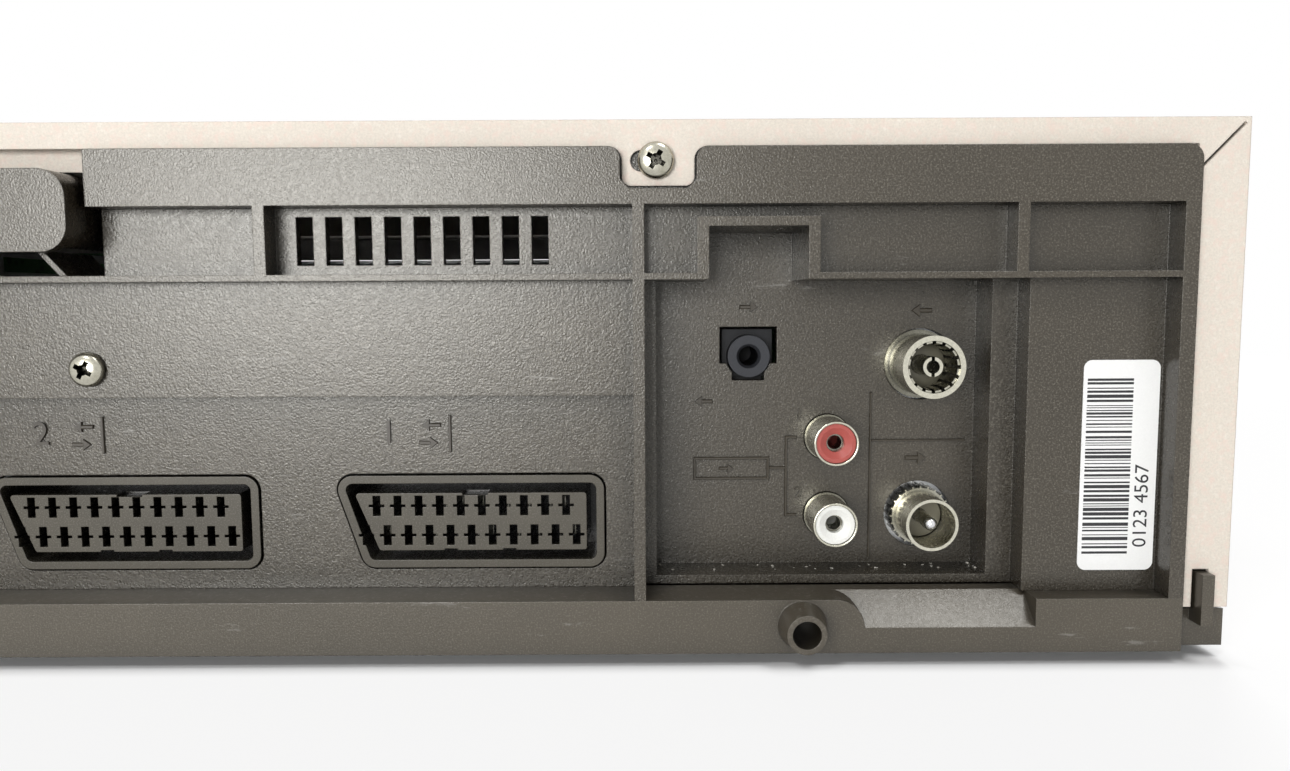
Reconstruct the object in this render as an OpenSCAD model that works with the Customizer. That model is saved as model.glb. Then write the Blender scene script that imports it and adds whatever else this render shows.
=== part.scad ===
// Front-loading video cassette recorder, in millimetres
// +X is the right side seen from the front, +Y points to the rear, +Z is up
// The origin is on the table, under the middle of the case

/* [Case] */
// Width over the cover
case_w = 400; // [398:1:412]
// Height from the table to the top of the cover
case_h = 94; // [93:1:100]
// Depth over the jog dial and the rear boss
case_d = 280; // [278:1:300]
// Height of the rubber feet
foot_h = 2.2; // [2:0.1:3]
// Diameter of a rubber foot
foot_dia = 22; // [16:1:24]
// Thickness of the cover's steel
cover_t = 0.8; // [0.6:0.1:1.2]
// Width of the cover's rear flange down the sides
side_lip = 8.9; // [8.5:0.1:10]
// Height of the cover's rear flange along the top
top_lip = 4.7; // [4.2:0.1:5.4]
// How far the rear panel's rim stands behind the cover
rim_stand = 2; // [1.4:0.1:2.6]
// Clearance between shells that meet
shell_gap = 0.3; // [0.2:0.05:0.4]
// Wall thickness of the mouldings
wall = 2; // [1.6:0.1:2.4]

/* [Chassis] */
// Height of the chassis rails
rail_h = 6.7; // [6:0.1:7.2]
// Width of the side rails
rail_w = 27; // [25:1:30]
// Depth of the front and rear rails
end_rail_d = 12; // [10:1:14]
// Width of the two middle bars
bar_w = 16; // [14:1:18]
// Distance of each middle bar from the middle
bar_x = 104; // [103:1:107]
// Height of the inner side walls above the rails
side_wall_h = 50; // [40:1:60]
// Thickness of the bottom plate
plate_t = 0.8; // [0.6:0.1:1]
// Height of the rear sill
sill_h = 9.5; // [9:0.1:10.5]
// Depth of the rear sill
sill_d = 9; // [8:0.5:10]
// Distance the round rear boss stands out of the rim
boss_out = 5; // [4.5:0.1:5.5]
// Bore of the round rear boss
boss_bore = 4.9; // [4:0.1:5.2]
// Outside of the boss at its mouth
boss_mouth = 6.8; // [6.6:0.1:7.4]
// Outside of the boss at its root
boss_root = 8.6; // [8:0.1:9]

/* [Rear panel] */
// Height of the plain band along the top
band_h = 9.5; // [8.5:0.1:10.5]
// Height of the row of pockets under the band
pocket_row_h = 11.5; // [11:0.1:12.5]
// Thickness of the long level rib
level_rib = 1.1; // [0.8:0.1:1.6]
// Thickness of the upright ribs
rib = 2; // [1.4:0.1:2.4]
// Width of the panel's side frame
side_frame = 2.6; // [2:0.1:3.2]
// Depth of the pocket floors behind the rim
pocket_depth = 4.8; // [4:0.1:5.4]
// Depth of the upper socket zone behind the rim
upper_depth = 3.2; // [3.1:0.1:3.8]
// Depth of the lower socket zone behind the rim
lower_depth = 8.5; // [8:0.1:9]
// Depth of the aerial and audio zone behind the rim
aerial_depth = 18; // [17:0.1:19]
// Depth of the ledge beside the aerial sockets
ledge_depth = 10; // [9:0.1:12]
// Width of the label recess
label_zone_w = 23.7; // [22:0.1:25]
// Width of the aerial and audio zone
aerial_zone_w = 67; // [66:0.5:69]
// Width of the 21-way socket zone
av_zone_w = 131; // [130:1:136]
// Height of the step between the two socket zones, over the sill
step_h = 35.6; // [34:0.1:38]
// Width of one ventilation slot
vent_w = 2.9; // [2:0.1:3.4]
// Height of one ventilation slot
vent_h = 8.3; // [7:0.1:8.6]
// Distance from one ventilation slot to the next
vent_pitch = 5.08; // [4.6:0.02:5.2]
// Number of ventilation slots
vent_count = 9; // [5:1:9]

/* [Rear sockets] */
// Width of a 21-way socket over its rim
av_w = 48.05; // [47:0.05:49]
// Height of a 21-way socket over its rim
av_h = 16.9; // [16.2:0.1:17.4]
// Distance between the two 21-way sockets
av_pitch = 62.45; // [60:0.05:64]
// Distance between neighbouring contacts of a 21-way socket
contact_pitch = 3.81; // [3.6:0.01:3.85]
// Outside diameter of the aerial input ring
aerial_in_dia = 11.4; // [11:0.1:12]
// Bore of the aerial input ring
aerial_in_bore = 9.5; // [9.3:0.05:9.7]
// Outside diameter of the aerial output plug
aerial_out_dia = 9.52; // [9.4:0.02:9.6]
// Outside diameter of a phono socket's shell
phono_dia = 8.2; // [8:0.1:8.4]
// Distance between the two phono sockets
phono_pitch = 15; // [14:0.1:16]
// How far the sockets stand out of the panel's floor
socket_out = 9; // [8:0.1:10]
// Outside diameter of the 3.5 mm jack's collar
jack_dia = 7.9; // [7.4:0.1:8.4]

/* [Front] */
// Thickness of the front panel's face
face_t = 2.4; // [2:0.1:2.8]
// Depth of the front panel
front_d = 10; // [9:0.5:11]
// How far the jog dial stands out of the face
dial_out = 4; // [3:0.1:5]
// Width of the cassette door
door_w = 191.4; // [190:0.2:192]
// Height of the cassette door
door_h = 31.2; // [30.6:0.1:31.6]
// Thickness of the cassette door
door_t = 2.5; // [2:0.1:2.6]
// Gap between the door and its opening
door_gap = 0.4; // [0.3:0.05:0.6]
// Diameter of the door's hinge pins
door_pin = 2.2; // [1.8:0.1:2.4]
// Width of the display window
window_w = 184; // [160:1:190]
// Height of the display window
window_h = 30; // [24:1:32]
// Width of a push button
button_w = 20; // [16:0.5:21]
// Height of a push button
button_h = 6; // [5:0.1:7]
// Distance a push button travels
button_travel = 0.8; // [0.5:0.1:0.9]
// Clearance round a push button
button_gap = 0.25; // [0.2:0.05:0.35]
// Outside diameter of the shuttle ring
shuttle_dia = 46; // [40:1:48]
// Diameter of the jog dial
jog_dia = 30; // [26:1:32]
// Width of the front jack flap
flap_w = 60; // [56:1:62]
// Height of the front jack flap
flap_h = 26; // [24:0.5:27]

/* [Boards] */
// Thickness of the circuit boards
pcb_t = 1.6; // [1.2:0.1:1.8]
// Height of the boards over the chassis underside
pcb_lift = 9.8; // [9.4:0.1:10.4]

/* [Deck] */
// Height of the deck plate's top over the boards
deck_rise = 12.4; // [12:0.1:13]
// Thickness of the deck plate
deck_t = 1.5; // [1.2:0.1:1.6]
// Distance between the reel spindles
reel_pitch = 92; // [91:0.5:93]
// Diameter of a reel table
reel_dia = 44; // [40:1:46]
// Diameter of the head drum
drum_dia = 62; // [60:0.5:62]
// Height of the turning upper drum
upper_drum_h = 16; // [14:0.5:17]
// Height of the fixed lower drum
lower_drum_h = 20; // [18:0.5:21]
// Tilt of the drum's axis from upright
drum_tilt = 5.5; // [4:0.1:6]
// Diameter of the capstan shaft
capstan_dia = 4; // [3:0.1:4]
// Diameter of the capstan's flywheel
flywheel_dia = 56; // [48:1:58]
// Diameter of the pinch roller
pinch_dia = 13; // [12:0.1:13]
// Distance the cassette holder travels inwards
holder_in = 63; // [55:1:64]
// Distance the cassette holder drops
holder_drop = 18; // [16:0.5:19]

/* [Hidden] */

$fn = 64;
eps = 0.01;

// Main planes across the case
x_side = case_w / 2;
y_rim = case_d / 2 - boss_out;
y_cover_rear = y_rim - rim_stand;
y_face = -case_d / 2 + dial_out;
y_front_back = y_face + front_d;
y_cover_front = y_front_back + 0.4;

// Levels from the table upwards
z_base = foot_h;
z_plate_top = z_base + plate_t;
z_rail = z_base + rail_h;
z_sill = z_base + sill_h;
z_pcb = z_base + pcb_lift;
z_pcb_top = z_pcb + pcb_t;
z_deck = z_pcb_top + deck_rise;
z_cover_low = z_rail + 0.6;
z_panel_top = case_h - top_lip;
z_band_low = z_panel_top - band_h;
z_level_rib = z_band_low - pocket_row_h;

// Edges of the rear panel's zones, from the left edge seen from the front
x_panel = -x_side + side_lip;
x_label = x_panel + side_frame;
x_aerial = x_label + label_zone_w;
x_av = x_aerial + aerial_zone_w + rib;
x_av_end = x_av + av_zone_w;
x_mid_rib = x_av + 61.65;
x_label_rib = x_label + 26;
x_right_rib = -x_label - 68.5;

// Bracket round the deep finger pocket over the 3.5 mm jack
bracket_w = 20.75;
x_bracket = x_av - rib - 8.9 - bracket_w;
bracket_rise = 9.4;

// Places of the rear sockets
x_av_1 = x_av + 5.5 + av_w / 2;
z_av = z_pcb_top + 10.4;
x_phono = x_av - rib - 34.6;
z_phono = z_pcb_top + 9.1;
x_tuner = x_av - rib - 52;
z_aerial_out = z_pcb_top + 9.2;
z_aerial_in = z_aerial_out + 28.7;
x_jack = x_av - rib - 19.5;
z_jack = z_aerial_in + 1.7;
y_aerial_floor = y_rim - aerial_depth;
y_socket_front = y_aerial_floor + socket_out;
x_inlet = (bar_x + x_side) / 2;
z_inlet = z_pcb_top + 12;

// Cover screw tab and its notch in the band
tab_w = 12.85;
tab_drop = 11;
x_tab = -0.501 * x_side;
z_cover_screw = case_h - 6.85;
x_boss = x_panel + 66.1;
z_boss = z_base + 5;

// Front layout: the groups stand between the door and the ends, and the window under the door
door_w_gap = door_w + 2 * door_gap;
door_h_gap = door_h + 2 * door_gap;
x_right_group = (door_w_gap / 2 + x_side) / 2 + 1.95;
x_left_group = -x_right_group;
z_door = case_h - 27;
z_window = z_base + (z_door - door_h / 2 - z_base) * 0.555;
z_dial = z_base + 28;
z_top_row = case_h - 14;
z_low_row = case_h - 26;
y_hinge = y_face + 2.4;
z_hinge = z_door + door_h / 2 - 2.1;
running = 0.05;
y_board = y_front_back + 2.4;
z_flap = z_base + 23;
x_flap = x_left_group - 4;
flap_t = 2.2;
flap_pin = 2;
z_flap_hinge = z_flap - flap_h / 2 + 2.2;
y_flap_hinge = y_face + 2.2;

// Deck layout
x_reel = reel_pitch / 2;
y_reel = y_face + 17 * case_d / 56;
z_reel = z_deck + 0.4;
deck_front = 60;
deck_rear = 141;
deck_over = 8;
y_drum = y_reel + 106;
z_drum = z_deck + 3;
x_capstan = 66;
y_capstan = y_reel + 52;
x_pinch_pivot = 88;
y_pinch_pivot = y_reel + 85;
pinch_reach = 32.7;
pinch_rest = 207.7;
x_pinch = x_pinch_pivot + pinch_reach * cos(pinch_rest);
y_pinch = y_pinch_pivot + pinch_reach * sin(pinch_rest);
guide_rest_x = 34;
guide_end_x = 40;
guide_run = 68;
y_guide = y_reel + 49;
x_tension = -84;
y_tension = y_reel + 74;
x_tension_post = -58;
y_tension_post = y_reel + 50;
y_idler = y_reel + 15;
idler_reach = 22;
idler_swing = 28;
holder_depth = 50;
y_holder = y_reel - 52;
cassette_h = 25;
z_holder = z_deck + 8 + holder_drop;
holder_half = door_w_gap / 2 - shell_gap;
slide_t = 1;
x_slide = holder_half + 1.2;
x_carriage = x_slide + slide_t + 1;
y_boards = y_rim - 134;
x_cam = -92;
y_cam = y_reel + 104;
cam_dia = 36;
worm_dia = 9;

// Solid block between two corners
module block(x0, x1, y0, y1, z0, z1) {
    translate([x0, y0, z0]) cube([x1 - x0, y1 - y0, z1 - z0]);
}

// Round bar along Y
module bar_y(x, z, y0, y1, d) {
    translate([x, y1, z]) rotate([90, 0, 0]) cylinder(h = y1 - y0, d = d);
}

// Round bar along X
module bar_x_axis(y, z, x0, x1, d) {
    translate([x0, y, z]) rotate([0, 90, 0]) cylinder(h = x1 - x0, d = d);
}

// Round post along Z
module post(x, y, z0, z1, d) {
    translate([x, y, z0]) cylinder(h = z1 - z0, d = d);
}

// Extrude an outline drawn in X and Z along Y
module along_y(y0, y1) {
    translate([0, y1, 0]) rotate([90, 0, 0]) linear_extrude(y1 - y0) children();
}

// Extrude an outline drawn in Y and Z along X
module along_x(x0, x1) {
    translate([x0, 0, 0]) rotate([90, 0, 90]) linear_extrude(x1 - x0) children();
}

// Rectangle with round corners, centred
module round_rect(w, h, r) {
    square([w - 2 * r, h], center = true);
    square([w, h - 2 * r], center = true);
    for (x = [-1, 1]) {
        for (y = [-1, 1]) {
            translate([x * (w / 2 - r), y * (h / 2 - r)]) circle(r);
        }
    }
}

// Copy to the other side as well
module both_sides() {
    children();
    mirror([1, 0, 0]) children();
}

// Toothed outline with straight-sided teeth
module gear_outline(teeth, dia, depth) {
    circle(d = dia - 2 * depth);
    for (i = [0 : teeth - 1]) {
        rotate(360 * i / teeth)
            translate([dia / 2 - depth * 1.5, 0])
                polygon([[0, -depth * 0.55], [depth * 1.5, -depth * 0.3],
                    [depth * 1.5, depth * 0.3], [0, depth * 0.55]]);
    }
}

// Pan head screw that points down, its seat at the origin
module screw_down(head, shank, length) {
    difference() {
        union() {
            cylinder(h = head * 0.33, d1 = head, d2 = head * 0.8);
            translate([0, 0, -length]) cylinder(h = length, d = shank);
        }
        translate([-head * 0.27, -head * 0.06, head * 0.16]) cube([head * 0.54, head * 0.12, head]);
        translate([-head * 0.06, -head * 0.27, head * 0.16]) cube([head * 0.12, head * 0.54, head]);
    }
}

// The same screw pointing to the front, its seat at the origin
module screw_rear(head, shank, length) {
    rotate([-90, 0, 0]) screw_down(head, shank, length);
}

// Black moulded frame that everything stands on
screw_shank = 2.6;
deck_post_y = [y_reel - deck_front + 12, y_reel + deck_rear - 5];
board_post_y = [y_boards + 10, y_rim - 28];
deck_post_d = 9;

module chassis_frame() color("dimgray") {
    difference() {
        union() {
            both_sides() block(x_side - rail_w, x_side, y_front_back, y_rim - sill_d, z_plate_top, z_rail);
            both_sides() block(x_side - 3, x_side, y_front_back, y_rim - sill_d, z_base, z_rail);
            both_sides() block(x_side - cover_t - 0.6 - wall, x_side - cover_t - 0.6, y_front_back + 4,
                y_cover_rear - cover_t - 1, z_rail - eps, z_rail + side_wall_h);
            block(-x_side, x_side, y_front_back, y_front_back + end_rail_d, z_plate_top, z_rail);
            block(-x_side, x_side, y_rim - sill_d - end_rail_d, y_rim - sill_d, z_plate_top, z_rail);
            both_sides() block(bar_x - bar_w / 2, bar_x + bar_w / 2, y_front_back, y_rim - sill_d,
                z_plate_top, z_base + 4);
            rear_sill();
            both_sides() for (y = deck_post_y) post(bar_x, y, z_plate_top, z_deck - deck_t, deck_post_d);
            both_sides() for (y = board_post_y) post(bar_x, y, z_plate_top, z_pcb, 7);
            both_sides() for (y = board_post_y) post(x_side - rail_w / 2 - 5, y, z_plate_top, z_pcb, 7);
            translate([x_boss, y_rim - eps, z_boss]) rotate([-90, 0, 0])
                cylinder(h = boss_out + eps, d1 = boss_root, d2 = boss_mouth);
        }
        bar_y(x_boss, z_boss, y_rim - sill_d + 2, y_rim + boss_out + 1, boss_bore);
        both_sides() for (y = deck_post_y) post(bar_x, y, z_deck - 10, z_deck + 1, screw_shank + 0.4);
        for (p = foot_places()) post(p[0], p[1], z_base, z_rail - 1, foot_stem + 0.4);
        ramp_cut();
    }
}

// Rear sill with its end corners and the hooks that hold the cover
module rear_sill() {
    block(x_panel, -x_panel, y_rim - sill_d, y_rim, z_base, z_sill);
    both_sides() block(x_panel - side_lip, x_panel, y_rim - sill_d, y_rim - 3, z_base, z_rail);
    both_sides() block(x_panel - 5, x_panel - 2.9, y_rim - 3 - eps, y_rim + 0.6, z_rail - 2, z_rail + 7);
    both_sides() block(x_panel - 5, x_panel - 2.9, y_rim - sill_d, y_rim - 3, z_rail - eps, z_rail + 7);
}

// Sloped cut in the sill, deepest at its top, with a round shoulder at one end
ramp_w = 29.7;
ramp_depth = 6;
shoulder_r = 5;
module ramp_cut() {
    x0 = x_aerial - 0.8;
    x1 = x0 + ramp_w;
    intersection() {
        along_x(x0, x1 + shoulder_r) polygon([[y_rim - ramp_depth, z_sill + 1], [y_rim - ramp_depth, z_sill],
            [y_rim, z_boss - 0.5], [y_rim + 1, z_boss - 0.5], [y_rim + 1, z_sill + 1]]);
        union() {
            block(x0, x1, y_rim - sill_d, y_rim + 1, z_base, z_sill + 1);
            difference() {
                block(x1 - eps, x1 + shoulder_r, y_rim - sill_d, y_rim + 1, z_sill - shoulder_r, z_sill + 1);
                bar_y(x1 + shoulder_r, z_sill - shoulder_r, y_rim - sill_d, y_rim + 1, 2 * shoulder_r);
            }
        }
    }
}

// Sheet steel plate that closes the frame from below
foot_stem = 6;
function foot_places() = [for (x = [-1, 1]) for (y = [y_front_back + 24, y_rim - 30])
    [x * (x_side - rail_w / 2), y]];

module bottom_plate() color("silver") {
    difference() {
        block(-x_side + 3.3, x_side - 3.3, y_front_back + 0.5, y_rim - sill_d - 0.3, z_base, z_plate_top);
        for (p = foot_places()) post(p[0], p[1], z_base - 1, z_plate_top + 1, foot_stem + 0.4);
        for (x = [-78 : 12 : 78]) {
            for (y = [y_front_back + 60, y_rim - 80]) {
                translate([x, y, z_base - 1]) linear_extrude(plate_t + 2) round_rect(3, 34, 1.45);
            }
        }
    }
}

// Four push-in rubber feet
module rubber_feet() color("black") {
    for (p = foot_places()) {
        post(p[0], p[1], 0, z_base, foot_dia);
        post(p[0], p[1], z_base - eps, z_rail - 1.4, foot_stem);
    }
}

// Painted steel cover: a channel with a folded rear flange
module top_cover() color("tan") {
    difference() {
        block(-x_side, x_side, y_cover_front, y_cover_rear, z_cover_low, case_h);
        block(-x_side + cover_t, x_side - cover_t, y_cover_front - 1, y_cover_rear - cover_t,
            z_cover_low - 1, case_h - cover_t);
        rear_window();
        both_sides() block(x_panel - 5 - 0.4, x_panel - 2.9 + 0.4, y_cover_rear - 3, y_cover_rear + 1,
            z_cover_low - 1, z_rail + 7.4);
        both_sides() corner_mitre();
        both_sides() bar_y(x_tab + 0.4, z_cover_screw, y_cover_rear - 2, y_cover_rear + 1, 3.6);
        both_sides() bar_y(x_tab + 2.9, z_cover_screw, y_cover_rear - 2, y_cover_rear + 1, 3.6);
        for (i = [0 : 11]) {
            both_sides() translate([x_side - 3, y_cover_rear - 60 - 9 * i, case_h - 34])
                cube([6, 3, 22]);
        }
    }
    hood_hem();
}

// The window in the rear flange, less the two screw tabs
module rear_window() {
    difference() {
        block(x_panel - shell_gap, -x_panel + shell_gap, y_cover_rear - 2, y_cover_rear + 1,
            z_cover_low - 1, z_panel_top + shell_gap);
        both_sides() along_y(y_cover_rear - 3, y_cover_rear + 2)
            translate([x_tab, case_h - tab_drop / 2]) round_rect(tab_w - 2 * shell_gap, tab_drop, 1.5);
        both_sides() block(x_tab - tab_w / 2 + shell_gap, x_tab + tab_w / 2 - shell_gap,
            y_cover_rear - 3, y_cover_rear + 2, case_h - 6, case_h);
        both_sides() along_y(y_cover_rear - 3, y_cover_rear + 2) notch_corners(shell_gap);
    }
}

// Slit where the top and side flanges meet at 45 degrees
module corner_mitre() {
    along_y(y_cover_rear - cover_t - eps, y_cover_rear + 1) translate([-x_side, case_h]) rotate(-46)
        translate([cover_t * 1.6, -0.25]) square([14, 0.5]);
}

// Folded strip inside the cover over the hood
hood_x0 = x_av + 93;
hood_x1 = hood_x0 + 60.8;
module hood_hem() {
    block(hood_x0, hood_x1, y_cover_rear - 3.6, y_cover_rear - 2.8, z_level_rib + hood_high + shell_gap,
        case_h - cover_t);
}

// Screws that hold the cover's tabs and the rear panel
module case_screws() color("gold") {
    for (x = [x_tab + 0.4, -x_tab - 0.4]) {
        translate([x, y_cover_rear, z_cover_screw]) screw_rear(6.2, screw_shank, 6);
    }
    translate([x_panel_screw, y_rim - upper_depth, z_panel_screw]) screw_rear(6, screw_shank, 7);
}

// Rear panel: pockets are cut from a deep slab, so every floor keeps one wall behind it
// Each pocket is its low x, high x, low z, high z and depth
y_panel_back = y_rim - aerial_depth - wall;
function pockets() = [
    [x_label, x_aerial, z_sill, z_level_rib - level_rib, pocket_depth],
    [x_aerial, x_av - rib, z_sill, z_level_rib - level_rib, ledge_depth],
    [x_aerial + 4.6, x_av - rib - 2, z_sill + 1.6, z_level_rib - level_rib, aerial_depth],
    [x_av, x_av_end, z_sill + step_h, z_level_rib - level_rib, upper_depth],
    [x_av, x_av_end, z_sill, z_sill + step_h, lower_depth],
    [x_av_end + rib, -x_label, z_sill, z_level_rib - level_rib, pocket_depth],
    [x_label, x_label_rib, z_level_rib, z_band_low, pocket_depth],
    [x_label_rib + rib, x_bracket, z_level_rib, z_band_low, pocket_depth],
    [x_bracket - eps, x_bracket + bracket_w + eps, z_level_rib + bracket_rise, z_band_low, pocket_depth],
    [x_bracket + bracket_w, x_av - rib, z_level_rib, z_band_low, pocket_depth],
    [x_av, x_mid_rib, z_level_rib, z_band_low, pocket_depth],
    [x_mid_rib + rib, hood_x0 - 1.5, z_level_rib, z_band_low, pocket_depth],
    [hood_x1 + 1.5, x_right_rib, z_level_rib, z_band_low, pocket_depth],
    [x_right_rib + rib, -x_label, z_level_rib, z_band_low, pocket_depth],
    [x_bracket + rib, x_bracket + bracket_w - rib, z_level_rib - level_rib - eps,
        z_level_rib + bracket_rise - 1.6, aerial_depth]];

module rear_panel() color("darkslategray") {
    difference() {
        union() {
            intersection() {
                difference() {
                    union() {
                        block(x_panel, -x_panel, y_rim - pocket_depth - wall, y_rim, z_sill, z_panel_top);
                        for (p = pockets()) {
                            block(max(p[0] - wall, x_panel), min(p[1] + wall, -x_panel), y_rim - p[4] - wall,
                                y_rim, max(p[2] - wall, z_sill), min(p[3] + wall, z_panel_top));
                        }
                    }
                    for (p = pockets()) block(p[0], p[1], y_rim - p[4], y_rim + 1, p[2], p[3]);
                    hood_gap();
                    both_sides() tab_notch();
                }
                panel_outline();
            }
            hood();
        }
        panel_holes();
    }
}

// Outline of the panel with round top corners
module panel_outline() {
    r = 2.5;
    along_y(y_panel_back - 1, y_rim + 1) {
        translate([x_panel, z_sill]) square([-2 * x_panel, z_panel_top - z_sill - r]);
        translate([x_panel + r, z_sill]) square([-2 * x_panel - 2 * r, z_panel_top - z_sill]);
        for (x = [x_panel + r, -x_panel - r]) translate([x, z_panel_top - r]) circle(r);
    }
}

// Notch in the band for the cover's tab
module tab_notch() {
    z0 = case_h - tab_drop - 0.6;
    c = 1.5;
    along_y(y_cover_rear - cover_t - shell_gap, y_rim + 1) translate([x_tab, 0])
        polygon([[-tab_w / 2, z0 + c], [-tab_w / 2 + c, z0], [tab_w / 2 - c, z0], [tab_w / 2, z0 + c],
            [tab_w / 2, case_h], [-tab_w / 2, case_h]]);
    along_y(y_cover_rear - cover_t - shell_gap, y_rim + 1) notch_corners(0);
}

// Round corners of the band at the notch: what is cut off the band, or fills them on the cover less a gap
notch_r = 2;
module notch_corners(gap) {
    translate([x_tab, 0]) for (s = [0, 1]) mirror([s, 0]) difference() {
        translate([tab_w / 2 - gap - eps, z_panel_top - notch_r]) square([notch_r + gap + eps, notch_r + 1]);
        translate([tab_w / 2 + notch_r, z_panel_top - notch_r]) circle(notch_r + gap);
    }
}

// Opening behind the hood, and the band cut away over it
module hood_gap() {
    block(hood_x0 - 1.5, hood_x1 + 1.5, y_panel_back - 1, y_rim + 1, z_level_rib, z_panel_top + 1);
}

// Air hood that stands out of the opening, open below and to the inside
hood_low = 3.9;
hood_high = 17.5;
hood_out = 3;
hood_in = 14;
module hood() {
    difference() {
        along_y(y_rim - hood_in, y_rim + hood_out)
            translate([(hood_x0 + hood_x1) / 2, z_level_rib + (hood_low + hood_high) / 2])
                round_rect(hood_x1 - hood_x0, hood_high - hood_low, 4.5);
        block(hood_x0 + wall, hood_x1 - wall, y_rim - hood_in - 1, y_rim + hood_out - wall,
            z_level_rib, z_level_rib + hood_high - wall);
    }
    hood_fins();
    hood_webs();
}

// Guards under the hood: one slants beside its open end, one stands upright
module hood_fins() {
    z0 = z_level_rib - level_rib;
    x = hood_x0 + 1.3;
    along_y(y_rim - hood_in, y_rim - 0.3)
        polygon([[x, z0], [x + 1.2, z0], [x + 6, z0 + level_rib + hood_low + 0.3],
            [x + 4.8, z0 + level_rib + hood_low + 0.3]]);
    block(hood_x1 - 8, hood_x1 - 6.4, y_rim - hood_in, y_rim - 1, z0, z_level_rib + hood_low + 3);
}

// Webs that join the hood to the panel at each end
module hood_webs() {
    z0 = z_level_rib + hood_low + 5;
    block(hood_x0 - 1.6, hood_x0 + 1, y_rim - hood_in, y_rim - hood_in + wall, z0, z0 + 5);
    block(hood_x1 - 1, hood_x1 + 1.6, y_rim - hood_in, y_rim - hood_in + wall, z0, z0 + 5);
    for (x = [hood_x0 - 1.5 - wall, hood_x1 + 1.5]) {
        block(x, x + wall, y_rim - hood_in, y_rim - pocket_depth, z_level_rib, z_panel_top);
    }
}

// Every hole that a socket, screw or air stream goes through
socket_gap = 0.35;
small_vent_pitch = 3.6;
x_panel_screw = x_av + 94.35;
z_panel_screw = z_sill + 40.6;
module panel_holes() {
    z_vent = z_level_rib + 1.7;
    for (i = [0 : vent_count - 1]) {
        block(x_av + 14.55 + vent_pitch * i, x_av + 14.55 + vent_pitch * i + vent_w, y_panel_back - 1,
            y_rim + 1, z_vent, z_vent + vent_h);
    }
    for (i = [0 : 13]) {
        x0 = x_right_rib + 15 + small_vent_pitch * i;
        x1 = hood_x1 + 2 + small_vent_pitch * i;
        block(x0, x0 + 2, y_panel_back - 1, y_rim + 1, z_vent, z_vent + vent_h);
        block(x1, x1 + 2, y_panel_back - 1, y_rim + 1, z_sill + 18, z_sill + 42);
    }
    for (i = [0, 1]) {
        along_y(y_panel_back - 1, y_rim + 1) translate([x_av_1 + av_pitch * i, z_av]) av_outline(socket_gap);
    }
    bar_y(x_tuner, z_aerial_in, y_panel_back - 1, y_rim, aerial_in_dia + 2 * socket_gap + 1.4);
    bar_y(x_tuner, z_aerial_out, y_panel_back - 1, y_rim, aerial_in_dia + 2 * socket_gap + 0.6);
    for (i = [0, 1]) {
        bar_y(x_phono, z_phono + phono_pitch * i, y_panel_back - 1, y_rim, phono_dia + 2 * socket_gap);
    }
    block(x_jack - 5.4, x_jack + 5.4, y_panel_back - 1, y_rim, z_jack - 1.4, z_jack + 5.5);
    block(x_jack - 3.05, x_jack + 3.05, y_panel_back - 1, y_rim, z_jack - 4.6, z_jack - 1.3);
    bar_y(x_jack, z_jack, y_panel_back - 1, y_rim, jack_dia + 2 * socket_gap);
    along_y(y_panel_back - 1, y_rim + 1) translate([x_inlet, z_inlet])
        round_rect(inlet_w + 0.6, inlet_h + 0.6, 3);
    bar_y(x_panel_screw, z_panel_screw, y_panel_back, y_rim, screw_shank + 0.6);
    both_sides() bar_y(x_tab + 0.4, z_cover_screw, y_panel_back, y_rim, screw_shank + 0.6);
}

// Printed label in its recess
module bar_code_label() color("white") {
    y0 = y_rim - pocket_depth;
    along_y(y0, y0 + 0.15) translate([x_label + 7.2, z_sill + 22.5]) round_rect(13.4, 37.5, 1.5);
}

// Outline of a 21-way socket, slanted at its high x end, grown by a margin
av_slant = 3.9;
av_corner = 2.6;
module av_outline(grow) {
    r = max(av_corner + grow, 0.5);
    w = av_w / 2 + grow;
    h = av_h / 2 + grow;
    translate([-w, -h + r]) square([r, 2 * h - 2 * r]);
    translate([-w + r, -h]) square([2 * w - 2 * r - av_slant, 2 * h]);
    for (z = [-1, 1]) translate([-w + r, z * (h - r)]) circle(r);
    translate([w - r, h - r]) circle(r);
    translate([w - r - av_slant, -h + r]) circle(r);
    dx = av_slant;
    dz = 2 * h - 2 * r;
    len = sqrt(dx * dx + dz * dz);
    polygon([[w - r - av_slant, -h], [w - r - av_slant, h], [w - r, h],
        [w - r + r * dz / len, h - r - r * dx / len],
        [w - r - av_slant + r * dz / len, -h + r - r * dx / len]]);
}

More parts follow.
